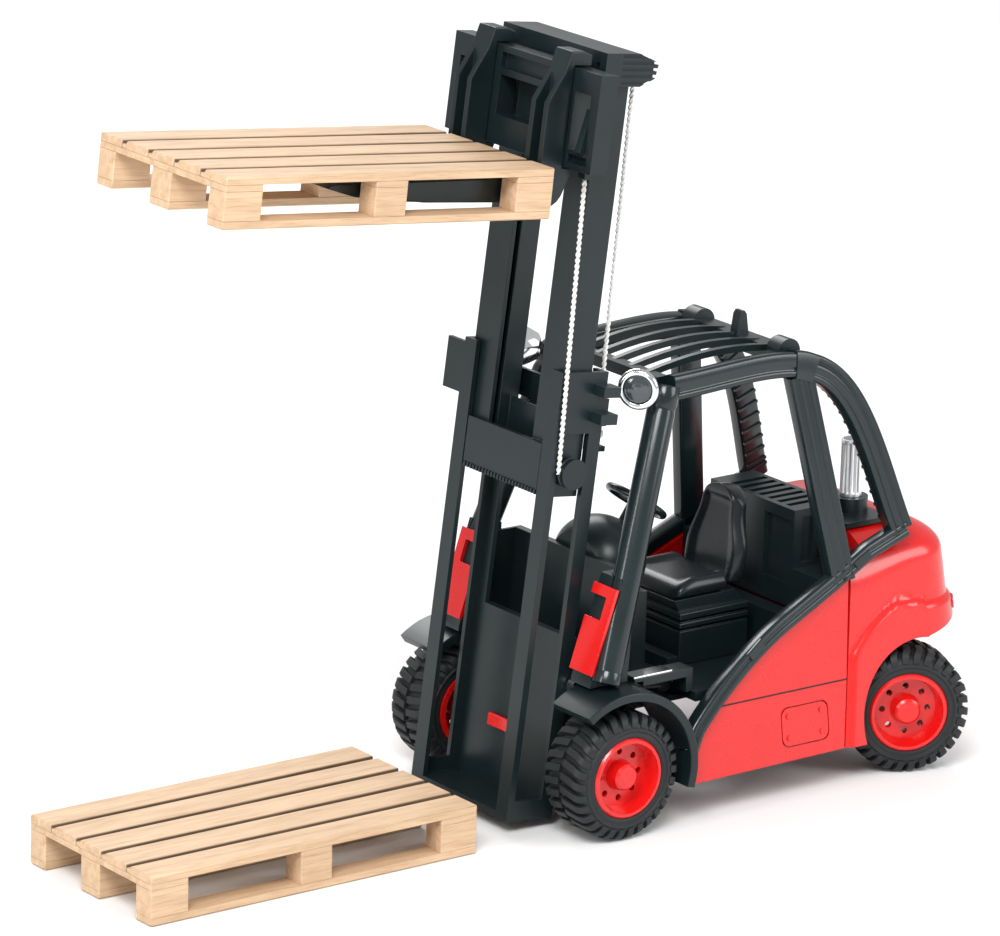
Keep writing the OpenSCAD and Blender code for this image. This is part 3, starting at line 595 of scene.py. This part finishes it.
def hood_ring(z):
    """The hood's outline at height z, from the left seam round the back to the right seam."""
    seam = 83.4 + (z - HOOD_LOW) * 0.118
    side_steps, turn_steps, back_steps = 44, 18, 6
    half = []
    for i in range(side_steps):
        x = seam + (HOOD_X - seam) * i / side_steps
        near_seam = BAND * flare(z, x) * (1 - fade((x - seam) / 2.5))
        half.append((x, -(HOOD_Y + hood_reach(z, x) - near_seam)))
    for i in range(turn_steps + 1):
        x, y = hood_corner(z, math.pi / 2 * (1 - i / turn_steps))
        half.append((x, -y))
    back = half[-1][0]
    for i in range(1, back_steps):
        half.append((back, -HOOD_Y + HOOD_Y * i / back_steps))
    ring = half + [(back, 0.0)] + [(x, -y) for x, y in reversed(half)]
    return [truck(x, y, z) for x, y in ring]


def cutter(name, shape):
    """A closed solid to cut with."""
    mesh = bare_mesh(name, shape)
    fix_normals(mesh)
    return link(name, mesh)


def across_cutter(name, outline, half):
    """An outline in x and z, cut right across the truck."""
    shape = Shape()
    shape.loft([[truck(x, y, z) for x, z in outline] for y in (-half, half)])
    return cutter(name, shape)


def pocket_cutter(name, side):
    """The room behind the arch that a steered wheel needs, inside the hood's skin."""
    x, y, r, low, top, skin = 114.0, 29.2, 26.6, 5.0, 39.2, 1.6
    rings = []
    for z in (low, top):
        limit = lean_y(z) - skin
        rings.append([truck(x + r * math.cos(a), side * min(y + side * r * math.sin(a), limit), z)
                      for a in angles(64)])
    shape = Shape()
    shape.loft(rings)
    return cutter(name, shape)


def cut_away(obj, cutters):
    """Takes each cutter out of obj, for good."""
    for tool in cutters:
        modifier = obj.modifiers.new(tool.name, "BOOLEAN")
        modifier.operation = "DIFFERENCE"
        modifier.solver = "EXACT"
        modifier.object = tool
    bpy.context.view_layer.update()
    graph = bpy.context.evaluated_depsgraph_get()
    mesh = bpy.data.meshes.new_from_object(obj.evaluated_get(graph))
    obj.modifiers.clear()
    obj.data = mesh
    for tool in cutters:
        bpy.data.objects.remove(tool)


def counterweight():
    """The red hood: lofted from its outlines, then cut for the wheels, the chassis and the bay."""
    levels = {HOOD_LOW + i * 1.9 for i in range(14)} | {38.5 + i * 0.8 for i in range(19)}
    levels |= {55, 57, 59, 60.8, 62.4, 63.8, 65.1, 66.3, 67.4, 68.4, 69.3, 70.1, 70.9, 71.6, 72.2,
               72.7, HOOD_TOP}
    shape = Shape()
    shape.loft([hood_ring(z) for z in sorted(levels)])
    hood = piece("counterweight_hood", shape, RED, "truck", ["counterweight"], angle=28)
    arch = [(ARCH_X + ARCH_R * math.cos(a), ARCH_Z + ARCH_R * math.sin(a)) for a in angles(72)]
    # Under the bumper the hood's lower edge climbs to the back; its middle is open to the chassis.
    inner = [(60, 0), (160, 0), (160, 47), (135.5, 44.6), (124.4, 42.0), (117, 40.4),
             (113.6, 38.6), (60, 38.6)]
    rear = [(112.3, 0), (165, 0), (165, 50.5), (135.5, 44.6), (124.4, 42.0), (117, 40.5),
            (114.9, 38.9), (112.3, 39)]
    bay = Shape()
    bay.block((70, -33, 49.9), (97, 33, 90), truck, edge=0.02)
    cut_away(hood, [across_cutter("arch", arch, 60),
                    *(pocket_cutter("pocket_" + name, side) for name, side in SIDES.items()),
                    across_cutter("low", inner, 30), across_cutter("rear", rear, 60),
                    cutter("bay", bay)])
    smooth(hood.data, 28)
    bevel(hood, 0.35, 40)
    for name, side in SIDES.items():
        corner_mark(f"rear_round_light_{name}", side, 41, 47.0, 2.1, 2.1, 0.5, LIGHT_RED)
        corner_mark(f"rear_slot_light_{name}", side, 27, 58.5, 0.9, 2.9, 0.3, BLACK_GLOSS)


def corner_mark(name, side, turn, height, half_w, half_h, proud, material):
    """A domed oval that lies on a rear corner of the hood, turn degrees round it."""
    rings = []
    for size, out in ((1.12, -0.6), (1.12, 0.12), (1.0, proud), (0.72, proud + 0.12),
                      (0.05, proud + 0.16)):
        ring = []
        for t in angles(28):
            z = height + half_h * size * math.sin(t)
            aside = half_w * size * math.cos(t) / hood_reach(z)
            x, y = hood_corner(z, math.radians(turn) + aside, out)
            ring.append(truck(x, side * y, z))
        rings.append(ring)
    shape = Shape()
    shape.loft(rings)
    piece(name, shape, material, "truck", angle=50)


# ---------------------------------------------------------------- cab frame

ROOF_Z = 127.5
BAR_T = 5.0


def frame_bar(name, side, line, width, thick=BAR_T, grooves=(), node=None):
    """A bar in a side frame's plane along a line of x and z, with rounded edges.

    A groove in its outside is given by its place across the width, its width and its depth.
    """
    half, t, soft = width / 2, thick / 2, 1.0
    corner = [(0, 0), (0.08, 0.38), (0.29, 0.71), (0.62, 0.92), (1, 1)]
    profile = [(-half + soft * a, t - soft + soft * b) for a, b in corner]
    for place, wide, deep in sorted(grooves):
        c, w = place * width, wide / 2
        profile += [(c - w - 0.35, t), (c - w - 0.1, t - 0.12), (c - w * 0.7, t - deep),
                    (c + w * 0.7, t - deep), (c + w + 0.1, t - 0.12), (c + w + 0.35, t)]
    profile += [(half - soft * a, t - soft + soft * b) for a, b in reversed(corner)]
    cut = soft * 0.3
    profile += [(half, -t + soft), (half - cut, -t + cut), (half - soft, -t),
                (-half + soft, -t), (-half + cut, -t + cut), (-half, -t + soft)]
    rings = []
    for i, (x, z) in enumerate(line):
        a, b = line[max(i - 1, 0)], line[min(i + 1, len(line) - 1)]
        length = math.hypot(b[0] - a[0], b[1] - a[1])
        nx, nz = -(b[1] - a[1]) / length, (b[0] - a[0]) / length
        rings.append([on_frame(side, x + n * nx, z + n * nz, out) for n, out in profile])
    shape = Shape()
    shape.loft(rings)
    piece(name, shape, BLACK_GLOSS, "truck", [node] if node else (), angle=50)


def cab_frame():
    """Both side frames: roof rail, rear arc, door post, sill rail and front pillar."""
    roof = curve((26.6, ROOF_Z - 0.5), (46, ROOF_Z), (60, ROOF_Z + 2), (72.6, ROOF_Z - 0.2), 24)
    arc = curve((77, ROOF_Z - 1.2), (95, 121), (100, 97), (107, 77), 32) + [(108.4, 73.4)]
    post = spaced([(73.7, 124.2), (85.1, 61.6)], 6)
    sill = curve((27.8, 27.4), (36, 36.2), (48.5, 46), (61.2, 52.5), 14)
    sill = spaced([(24.6, 21.5)] + sill + [(81.6, 62), (95.6, 69), (109.8, 73.6)], 3)
    joint = curve((71.4, 127.4), (74, 127.2), (76, 126.5), (78.4, 125.3), 6)
    for name, side in SIDES.items():
        frame_bar(f"roof_rail_{name}_moulded", side, roof, 7.4, grooves=[(-0.17, 1.0, 0.4)],
                  node=f"roof_rail_{name}")
        frame_bar(f"rear_arc_{name}_moulded", side, arc, 8.0,
                  grooves=[(0.2, 1.1, 0.45), (-0.2, 1.0, 0.4)], node=f"rear_arc_{name}")
        frame_bar(f"b_pillar_{name}_moulded", side, post, 8.6,
                  grooves=[(0.2, 1.1, 0.45), (-0.2, 1.1, 0.45)], node=f"b_pillar_{name}")
        frame_bar(f"sill_rail_{name}_moulded", side, sill, 5.0, grooves=[(0.05, 0.9, 0.4)],
                  node=f"sill_rail_{name}")
        frame_bar(f"corner_joint_{name}", side, joint, 8.7, thick=5.6)
        arc_ribs(name, side, arc)
        a_pillar(name, side)
        rail_clip(f"rail_clip_{name}_1", side, (50.4, 47.2), (8.6, 6.0))
        rail_clip(f"rail_clip_{name}_2", side, (92, 67.2), (6.8, 3.3))


def arc_ribs(name, side, line):
    """The row of short cross ribs moulded on the rear arc's inner face."""
    first, pitch = 4, 2.6
    half_thick, half_long, foot, top = 0.5, 3.6, -2.3, -3.1
    shape = Shape()
    travelled = 0.0
    for (x0, z0), (x1, z1) in zip(line[first:], line[first + 1:]):
        length = math.hypot(x1 - x0, z1 - z0)
        ux, uz = (x1 - x0) / length, (z1 - z0) / length
        travelled += length
        if travelled < pitch:
            continue
        travelled = 0.0

        def at(along, over, out):
            return on_frame(side, x0 + along * ux - over * uz, z0 + along * uz + over * ux, out)
        shape.block((-half_thick, -half_long, top), (half_thick, half_long, foot), at, 0.12)
    piece(f"arc_ribs_{name}", shape, BLACK_GLOSS, "truck")


def rail_clip(name, side, at, along):
    """A small raised clip across the sill rail."""
    length = math.hypot(*along)
    dx, dz = along[0] / length, along[1] / length
    half, wide, foot, low, high, soft = 3.4, 1.5, 2.0, 2.2, 2.95, 0.3
    rings = []
    for t, lift in ((-half, low), (-half + 0.4, high), (half - 0.4, high), (half, low)):
        x, z = at[0] + dx * t, at[1] + dz * t
        profile = [(-wide, foot), (-wide, lift - soft), (-wide + soft, lift),
                   (wide - soft, lift), (wide, lift - soft), (wide, foot)]
        rings.append([on_frame(side, x - dz * n, z + dx * n, out) for n, out in profile])
    shape = Shape()
    shape.loft(rings)
    piece(name, shape, BLACK_GLOSS, "truck", edge=0.1)


def a_pillar(name, side):
    """The round front pillar, with a collar at its foot and a cap where it meets the roof."""
    foot = truck(-3.3, side * lean_y(46), 46)
    top = truck(25, side * lean_y(128), 128)
    along = (top - foot).normalized()
    across, out = square_to(along, ACROSS)
    length = (top - foot).length / MM
    radii = [(0, 3.9), (0.3, 4.3), (3.0, 4.3), (3.5, 4.05), (4.1, 4.05), (5.0, 4.2),
             (length - 8, 4.2), (length - 7.2, 4.0), (length - 6.4, 4.0), (length - 5.8, 4.3),
             (length - 0.4, 4.3), (length, 4.0)]
    shape = Shape()
    shape.loft([circle(foot + along * s * MM, across, out, r, 40) for s, r in radii])
    piece(f"a_pillar_{name}_moulded", shape, BLACK_GLOSS, "truck", [f"a_pillar_{name}"], angle=50)


# ---------------------------------------------------------------- pallets

PALLET_W, PALLET_H = 62.0, 14.6
BOARD_T, CROSS_T, BOARDS, BOARD_GAP = 2.3, 1.8, 5, 2.0
BOARD_W = (PALLET_W - (BOARDS - 1) * BOARD_GAP) / BOARDS
END_BLOCK, MID_BLOCK, SIDE_RUNNER, MID_RUNNER = 12.5, 10.7, 7.8, 9.4
DROOP = math.radians(1.2)
PALLET_REAR, BLADE_TOP = -42.6, 171.6
# Chamfer heights where two boards meet flush, and the painted shade on the deck boards' sides in
# the gaps between them.
FLUSH, SHADED = 0.05, 0.12


def on_floor(x, y, z):
    """The lower pallet's own frame."""
    return truck(PALLET_REAR + x, y, z)


def on_forks(x, y, z):
    """The raised pallet's own frame: it lies on the fork blades, which droop a little."""
    c, s = math.cos(DROOP), math.sin(DROOP)
    h = z + BOARD_T + CROSS_T - PALLET_H
    return mast(PALLET_REAR + x * c - h * s, y, BLADE_TOP + 0.3 + x * s + h * c)


def deck_boards(place, length, places):
    """Long boards with bridges between them over the cross boards.

    Each shift moves the wood pattern, so that no two boards look alike.
    """
    half, under = PALLET_W / 2, PALLET_H - BOARD_T
    deck = Shape()
    for i in range(BOARDS):
        y0 = -half + i * (BOARD_W + BOARD_GAP)
        y1 = y0 + BOARD_W
        # Board sides that face a gap get painted shade; the outer sides of the two outer boards
        # stay unshaded.
        flank_shade = (1.0 if i == 0 else SHADED, 1.0 if i == BOARDS - 1 else SHADED)
        deck.block((-length, y0, under), (0, y1, PALLET_H), place, 0.35,
                   (31.0 * i, 17.0 * i, 7.0 * i), (FLUSH, 0.35), flank_shade)
        for a, b in places if i < BOARDS - 1 else ():
            deck.block((a + 0.3, y1 - 0.2, under), (b - 0.3, y1 + BOARD_GAP + 0.2, PALLET_H - 1.1),
                       place, 0.1, (31.0 * i + 9, 17.0 * i, 0))
    for k, (a, b) in enumerate(places):
        deck.block((a + 0.02, -half + 0.02, under - CROSS_T), (b - 0.02, half - 0.02, under),
                   place, 0.3, (5, 40.0 * k + 11, 3), (FLUSH, FLUSH))
    return deck


def runners_and_blocks(place, length, places):
    """Three long runners, each with its three blocks."""
    half, block_top = PALLET_W / 2, PALLET_H - BOARD_T - CROSS_T
    base = Shape()
    for j, (y0, y1) in enumerate(((-half, -half + SIDE_RUNNER), (-MID_RUNNER / 2, MID_RUNNER / 2),
                                  (half - SIDE_RUNNER, half))):
        shift = (13.0 * j, 29.0 * j, 5)
        base.block((-length, y0, 0), (0, y1, BOARD_T), place, 0.35, shift, (0.35, FLUSH))
        for a, b in places:
            base.block((a, y0, BOARD_T), (b, y1, block_top), place, 0.3, shift, (FLUSH, FLUSH))
    return base


def pallet(which, place, length):
    """One pallet in place's own frame, from x = -length to 0."""
    middle_half = MID_BLOCK / 2
    places = [(-length, -length + END_BLOCK),
              (-length / 2 - middle_half, -length / 2 + middle_half), (-END_BLOCK, 0)]
    body = "pallet_" + which
    piece(f"pallet_{which}_boards", deck_boards(place, length, places), WOOD, body,
          [f"pallet_{which}_deck"], angle=40)
    piece(f"pallet_{which}_runners", runners_and_blocks(place, length, places), WOOD, body,
          [f"pallet_{which}_base"], angle=40)


# ---------------------------------------------------------------- cords

def cord(name, node, start, end, knot=False):
    """Two strands twisted round each other between two points."""
    radius, offset, pitch, per_turn, sides = 0.42, 0.33, 3.4, 10, 8
    along = end - start
    length = along.length / MM
    along.normalize()
    across, out = square_to(along, ACROSS)
    count = int(length / pitch * per_turn)
    shape = Shape()
    for phase in (0, math.pi):
        rings = []
        for i in range(count + 1):
            s = length * i / count
            turn = phase + 2 * math.pi * s / pitch
            spoke = across * math.cos(turn) + out * math.sin(turn)
            centre = start + (along * s + spoke * offset) * MM
            rings.append(circle(centre, spoke, along.cross(spoke), radius, sides))
        shape.loft(rings)
    if knot:
        overhand_knot(shape, start, along, across, out)
    obj = piece(name, shape, CORD, None, [node], angle=60)
    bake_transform(obj)


def overhand_knot(shape, at, along, across, out):
    """A small trefoil of cord."""
    size, radius, steps, sides = 0.42, 0.62, 60, 8
    points = []
    for t in angles(steps):
        p = across * (math.sin(t) + 2 * math.sin(2 * t)) + out * (math.cos(t) - 2 * math.cos(2 * t))
        points.append(at + (p * size - along * (0.7 * math.sin(3 * t) + 0.4)) * MM)
    rings = []
    for i, p in enumerate(points):
        ahead = (points[(i + 1) % steps] - points[i - 1]).normalized()
        a = ahead.cross(along)
        if a.length < 0.1:
            a = ahead.cross(across)
        a.normalize()
        rings.append(circle(p, a, ahead.cross(a), radius, sides))
    shape.loft(rings, loop=True)


def cords():
    """The lift cord down the mast's left side, and the return cord beside the carriage."""
    lift_foot, lift_top = mast(-5, -18, 96), mast(-8.4, -18, 199.1)
    cord("lift_cord_twisted", "lift_cord", lift_foot, lift_top,
         knot=True)
    low, high = mast(-22.25, -24.2, 85.5), mast(-26.6, -24.6, 171.5)
    cord("return_cord_twisted", "return_cord", low, high)


# ---------------------------------------------------------------- seat

SEAT_HEIGHT, SEAT_LEAN = 28.6, math.radians(10)


def seat_back_half(v):
    """Half width of the seat back at height v: broad hips, narrower shoulders, a round top."""
    wide = 12.6 - 1.2 * (1 - fade(v / 5)) - 4.2 * fade((v - 9) / 14)
    crown = 6.5
    if v > SEAT_HEIGHT - crown:
        wide *= math.sqrt(max(0.0, 1 - ((v - SEAT_HEIGHT + crown) / crown) ** 2.3))
    return max(wide, 0.4)


def seat_back_point(v, y, depth):
    """A point of the seat back, depth behind its front and v up along its lean."""
    c, s = math.cos(SEAT_LEAN), math.sin(SEAT_LEAN)
    return truck(62.4 + depth * c + v * s, y, 57.4 + v * c - depth * s)


def seat_back():
    """The back of a moulded bucket seat: a raised rim, a hollowed middle and a rounded top."""
    rows, across, thick, edge, deep = 22, 16, 6.0, 0.9, 1.5
    rings = []
    for i in range(rows + 1):
        v = SEAT_HEIGHT * (1 - (1 - i / rows) ** 1.35)
        w = seat_back_half(v)
        top_rim = fade((v - SEAT_HEIGHT + 5) / 2.5)
        ring = []
        for j in range(across + 1):
            s = -1 + 2 * j / across
            rim = fade((abs(s) - 0.62) / 0.2) * (1 - fade((abs(s) - 0.93) / 0.08) * 0.9)
            hollow = deep * (1 - max(rim, top_rim)) * fade(v / 3)
            ring.append(seat_back_point(v, s * w, hollow + edge * fade((abs(s) - 0.93) / 0.07)))
        ring += [seat_back_point(v, s * w, thick - edge * abs(s) ** 6)
                 for s in (1, 0.8, 0.4, 0, -0.4, -0.8, -1)]
        rings.append(ring)
    shape = Shape()
    shape.loft(rings)
    piece("seat_back_moulded", shape, SEAT, "truck", ["seat_back"], angle=70, subdivide=1)


def seat_cushion():
    """The seat's cushion, with a rounded nose and raised sides."""
    front, back, half, base = 41.4, 61.0, 14.0, 56.9
    rows, across, thick, side_rise, edge = 18, 16, 4.3, 1.5, 0.9
    rings = []
    for i in range(rows + 1):
        s = i / rows
        x = front + (back - front) * s
        nose = math.sqrt(max(0.0, 1 - (1 - min(s / 0.22, 1)) ** 2))
        w = half - 1.6 * (1 - nose)
        ring = []
        for j in range(across + 1):
            t = -1 + 2 * j / across
            side = fade((abs(t) - 0.6) / 0.22) * (1 - fade((abs(t) - 0.9) / 0.1))
            z = base + thick * nose + side_rise * side * fade((s - 0.1) / 0.3)
            ring.append(truck(x, t * w, z - edge * fade((abs(t) - 0.93) / 0.07)))
        ring += [truck(x, t * w, base - 0.2) for t in (1, 0.5, 0, -0.5, -1)]
        rings.append(ring)
    shape = Shape()
    shape.loft(rings)
    piece("seat_cushion_moulded", shape, SEAT, "truck", ["seat_cushion"], angle=70, subdivide=1)


# ---------------------------------------------------------------- small parts

def exhaust():
    """A ribbed bright stack with an open top."""
    foot, ribs, deep = (107.0, -13.0, 79.0), 14, 0.22
    profile = ((3.0, 0, 0), (3.35, 0, 0), (3.35, 1.0, 0), (3.1, 1.4, deep), (3.1, 16.0, deep),
               (3.3, 16.5, 0), (3.3, 17.5, 0), (2.7, 17.5, 0), (2.6, 14.0, 0), (0.3, 14.0, 0))
    rings = []
    for r, z, wave in profile:
        ring = []
        for a in angles(ribs * 6):
            reach = r + wave * math.cos(ribs * a)
            ring.append(truck(foot[0] + reach * math.cos(a), foot[1] + reach * math.sin(a),
                              foot[2] + z))
        rings.append(ring)
    shape = Shape()
    shape.loft(rings)
    piece("exhaust_ribbed", shape, PLATED, "truck", ["exhaust"], angle=35)


def lamp(name, side):
    """A bright lamp shell with a rolled rim, a dark lens with fine rings, and its bracket."""
    turn = math.radians(38)
    centre = truck(14, side * 27.5, 129)
    out = Vector((-math.cos(turn), side * math.sin(turn), 0))
    across = out.cross(UP).normalized()
    shell = [(0.4, -5), (2.6, -5), (3.8, -4.2), (5.1, -1.8), (5.9, -0.2), (6.1, 0.6), (6.05, 1.2),
             (5.75, 1.7), (5.3, 1.95), (4.8, 2.0), (4.4, 1.8), (4.3, 1.2), (4.3, -0.4),
             (0.4, -0.45)]
    lens = [(0.3, -0.4), (4.25, -0.4), (4.25, 0.9), (4.0, 1.15), (3.6, 1.1), (3.3, 1.32),
            (2.8, 1.27), (2.4, 1.46), (1.8, 1.4), (1.3, 1.55), (0.2, 1.58)]
    for kind, profile, material, node in (("shell", shell, CHROME, "lamps"),
                                          ("lens", lens, LENS, "lamp_lenses")):
        shape = Shape()
        shape.loft([circle(centre + out * d * MM, across, UP, r, 48) for r, d in profile])
        piece(f"lamp_{kind}_{name}", shape, material, "truck", [node], angle=50)
    start, end = centre - out * 4.2 * MM, truck(20.6, side * 25.2, 126.2)
    u, w = square_to((end - start).normalized(), UP)
    bracket = Shape()
    bracket.loft([circle(start + (end - start) * s, u, w, r, 20)
                  for s, r in ((0, 1.7), (0.3, 1.5), (0.8, 1.4), (1, 1.6))])
    piece(f"lamp_bracket_{name}", bracket, BLACK_GLOSS, "truck", angle=50)


def steering_wheel():
    """A rim with a round section, three tapering spokes and a domed hub."""
    hub, lean = truck(36, 0, 85), math.radians(35)
    axis = Vector((math.sin(lean), 0, math.cos(lean)))
    w = axis.cross(ACROSS)

    def at(r, a, h):
        return hub + (axis * h + (ACROSS * math.cos(a) + w * math.sin(a)) * r) * MM
    rim_r, section, bore, spokes = 9, 1.1, 1.25, 3
    shape = Shape()
    shape.loft([[at(rim_r + section * math.cos(b), a, section * math.sin(b)) for b in angles(12)]
                for a in angles(60)], loop=True)
    hub_profile = ((bore, -1.1), (2.3, -1.1), (2.6, -0.8), (2.6, 0.6), (2.2, 1.1), (bore, 1.1))
    shape.loft([[at(r, a, h) for r, h in hub_profile] for a in angles(32)], loop=True)
    for k in range(spokes):
        a = 2 * math.pi * k / spokes + math.pi / 2
        rings = []
        for r, wide, h in ((2.3, 1.15, 0.75), (4.5, 0.85, 0.62), (6.5, 0.8, 0.55), (8.2, 1.0, 0.6)):
            foot, top = wide / r, wide / r * 0.8
            rings.append([at(r, a - foot, -h * 0.6), at(r, a - top, h), at(r, a + top, h),
                          at(r, a + foot, -h * 0.6)])
        shape.loft(rings)
    piece("steering_wheel_moulded", shape, BLACK_GLOSS, "steering_wheel", ["steering_wheel"],
          edge=0.12, angle=45)


def mast_catch():
    """The small red catch low on the outer mast's back plate."""
    shape = Shape()
    shape.block((-11.0, -2.6, 1.6), (-9.3, 8.4, 5.4), mast, 0.35)
    piece("mast_catch", shape, RED, "outer_mast", edge=0.12)


def panel_seam(name, side):
    """The dark shut line under an upper door, lying in the side panel's own seam."""
    def at(x, out, z):
        return on_frame(side, x, z, out)
    shape = Shape()
    shape.block((34.0, -0.48, 32.24), (85.3, -0.14, 32.66), at, 0.02)
    piece(f"panel_seam_{name}", shape, SEAT, "truck")


def kept_parts():
    """CAD nodes whose shape is right: only their material and edges change here."""
    black = {
        0.5: ("fender_left", "fender_right", "seat_base"),
        0.45: ("carriage",),
        0.4: ("chassis", "cab_tub", "dashboard", "fork_left", "fork_right"),
        0.35: ("engine_cover", "cowl", "outer_mast"),
        0.3: ("roof_grille", "rear_axle", "inner_mast"),
        0.2: ("knuckle_left", "knuckle_right", "tilt_barrels", "crosshead"),
        0.15: ("cord_pulleys",),
    }
    red = {
        0.25: ("rim_front_left", "rim_front_right", "rim_rear_left", "rim_rear_right"),
        0.2: ("cowl_trims",),
        0.12: ("hatch_left", "hatch_right"),
        0.1: ("side_panel_left", "side_panel_right"),
    }
    bright = {0.12: ("front_axle", "tie_rod", "tilt_rods", "step_plates")}
    for material, edges in ((BLACK, black), (RED, red), (CHROME, bright)):
        for edge, nodes in edges.items():
            for node in nodes:
                keep_cad(node, material, edge)


# ---------------------------------------------------------------- the whole

camera()
studio()
floor()
kept_parts()
for wheel_end in ("front", "rear"):
    for wheel_side in SIDES:
        tyre(wheel_end, wheel_side)
counterweight()
cab_frame()
seat_back()
seat_cushion()
steering_wheel()
exhaust()
for side_name, side_sign in SIDES.items():
    lamp(side_name, side_sign)
mast_catch()
for side_name, side_sign in SIDES.items():
    panel_seam(side_name, side_sign)
deck_low, deck_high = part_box("pallet_b_deck")
pallet_length = (deck_high.x - deck_low.x) / MM
pallet("a", on_forks, pallet_length)
pallet("b", on_floor, pallet_length)
cords()
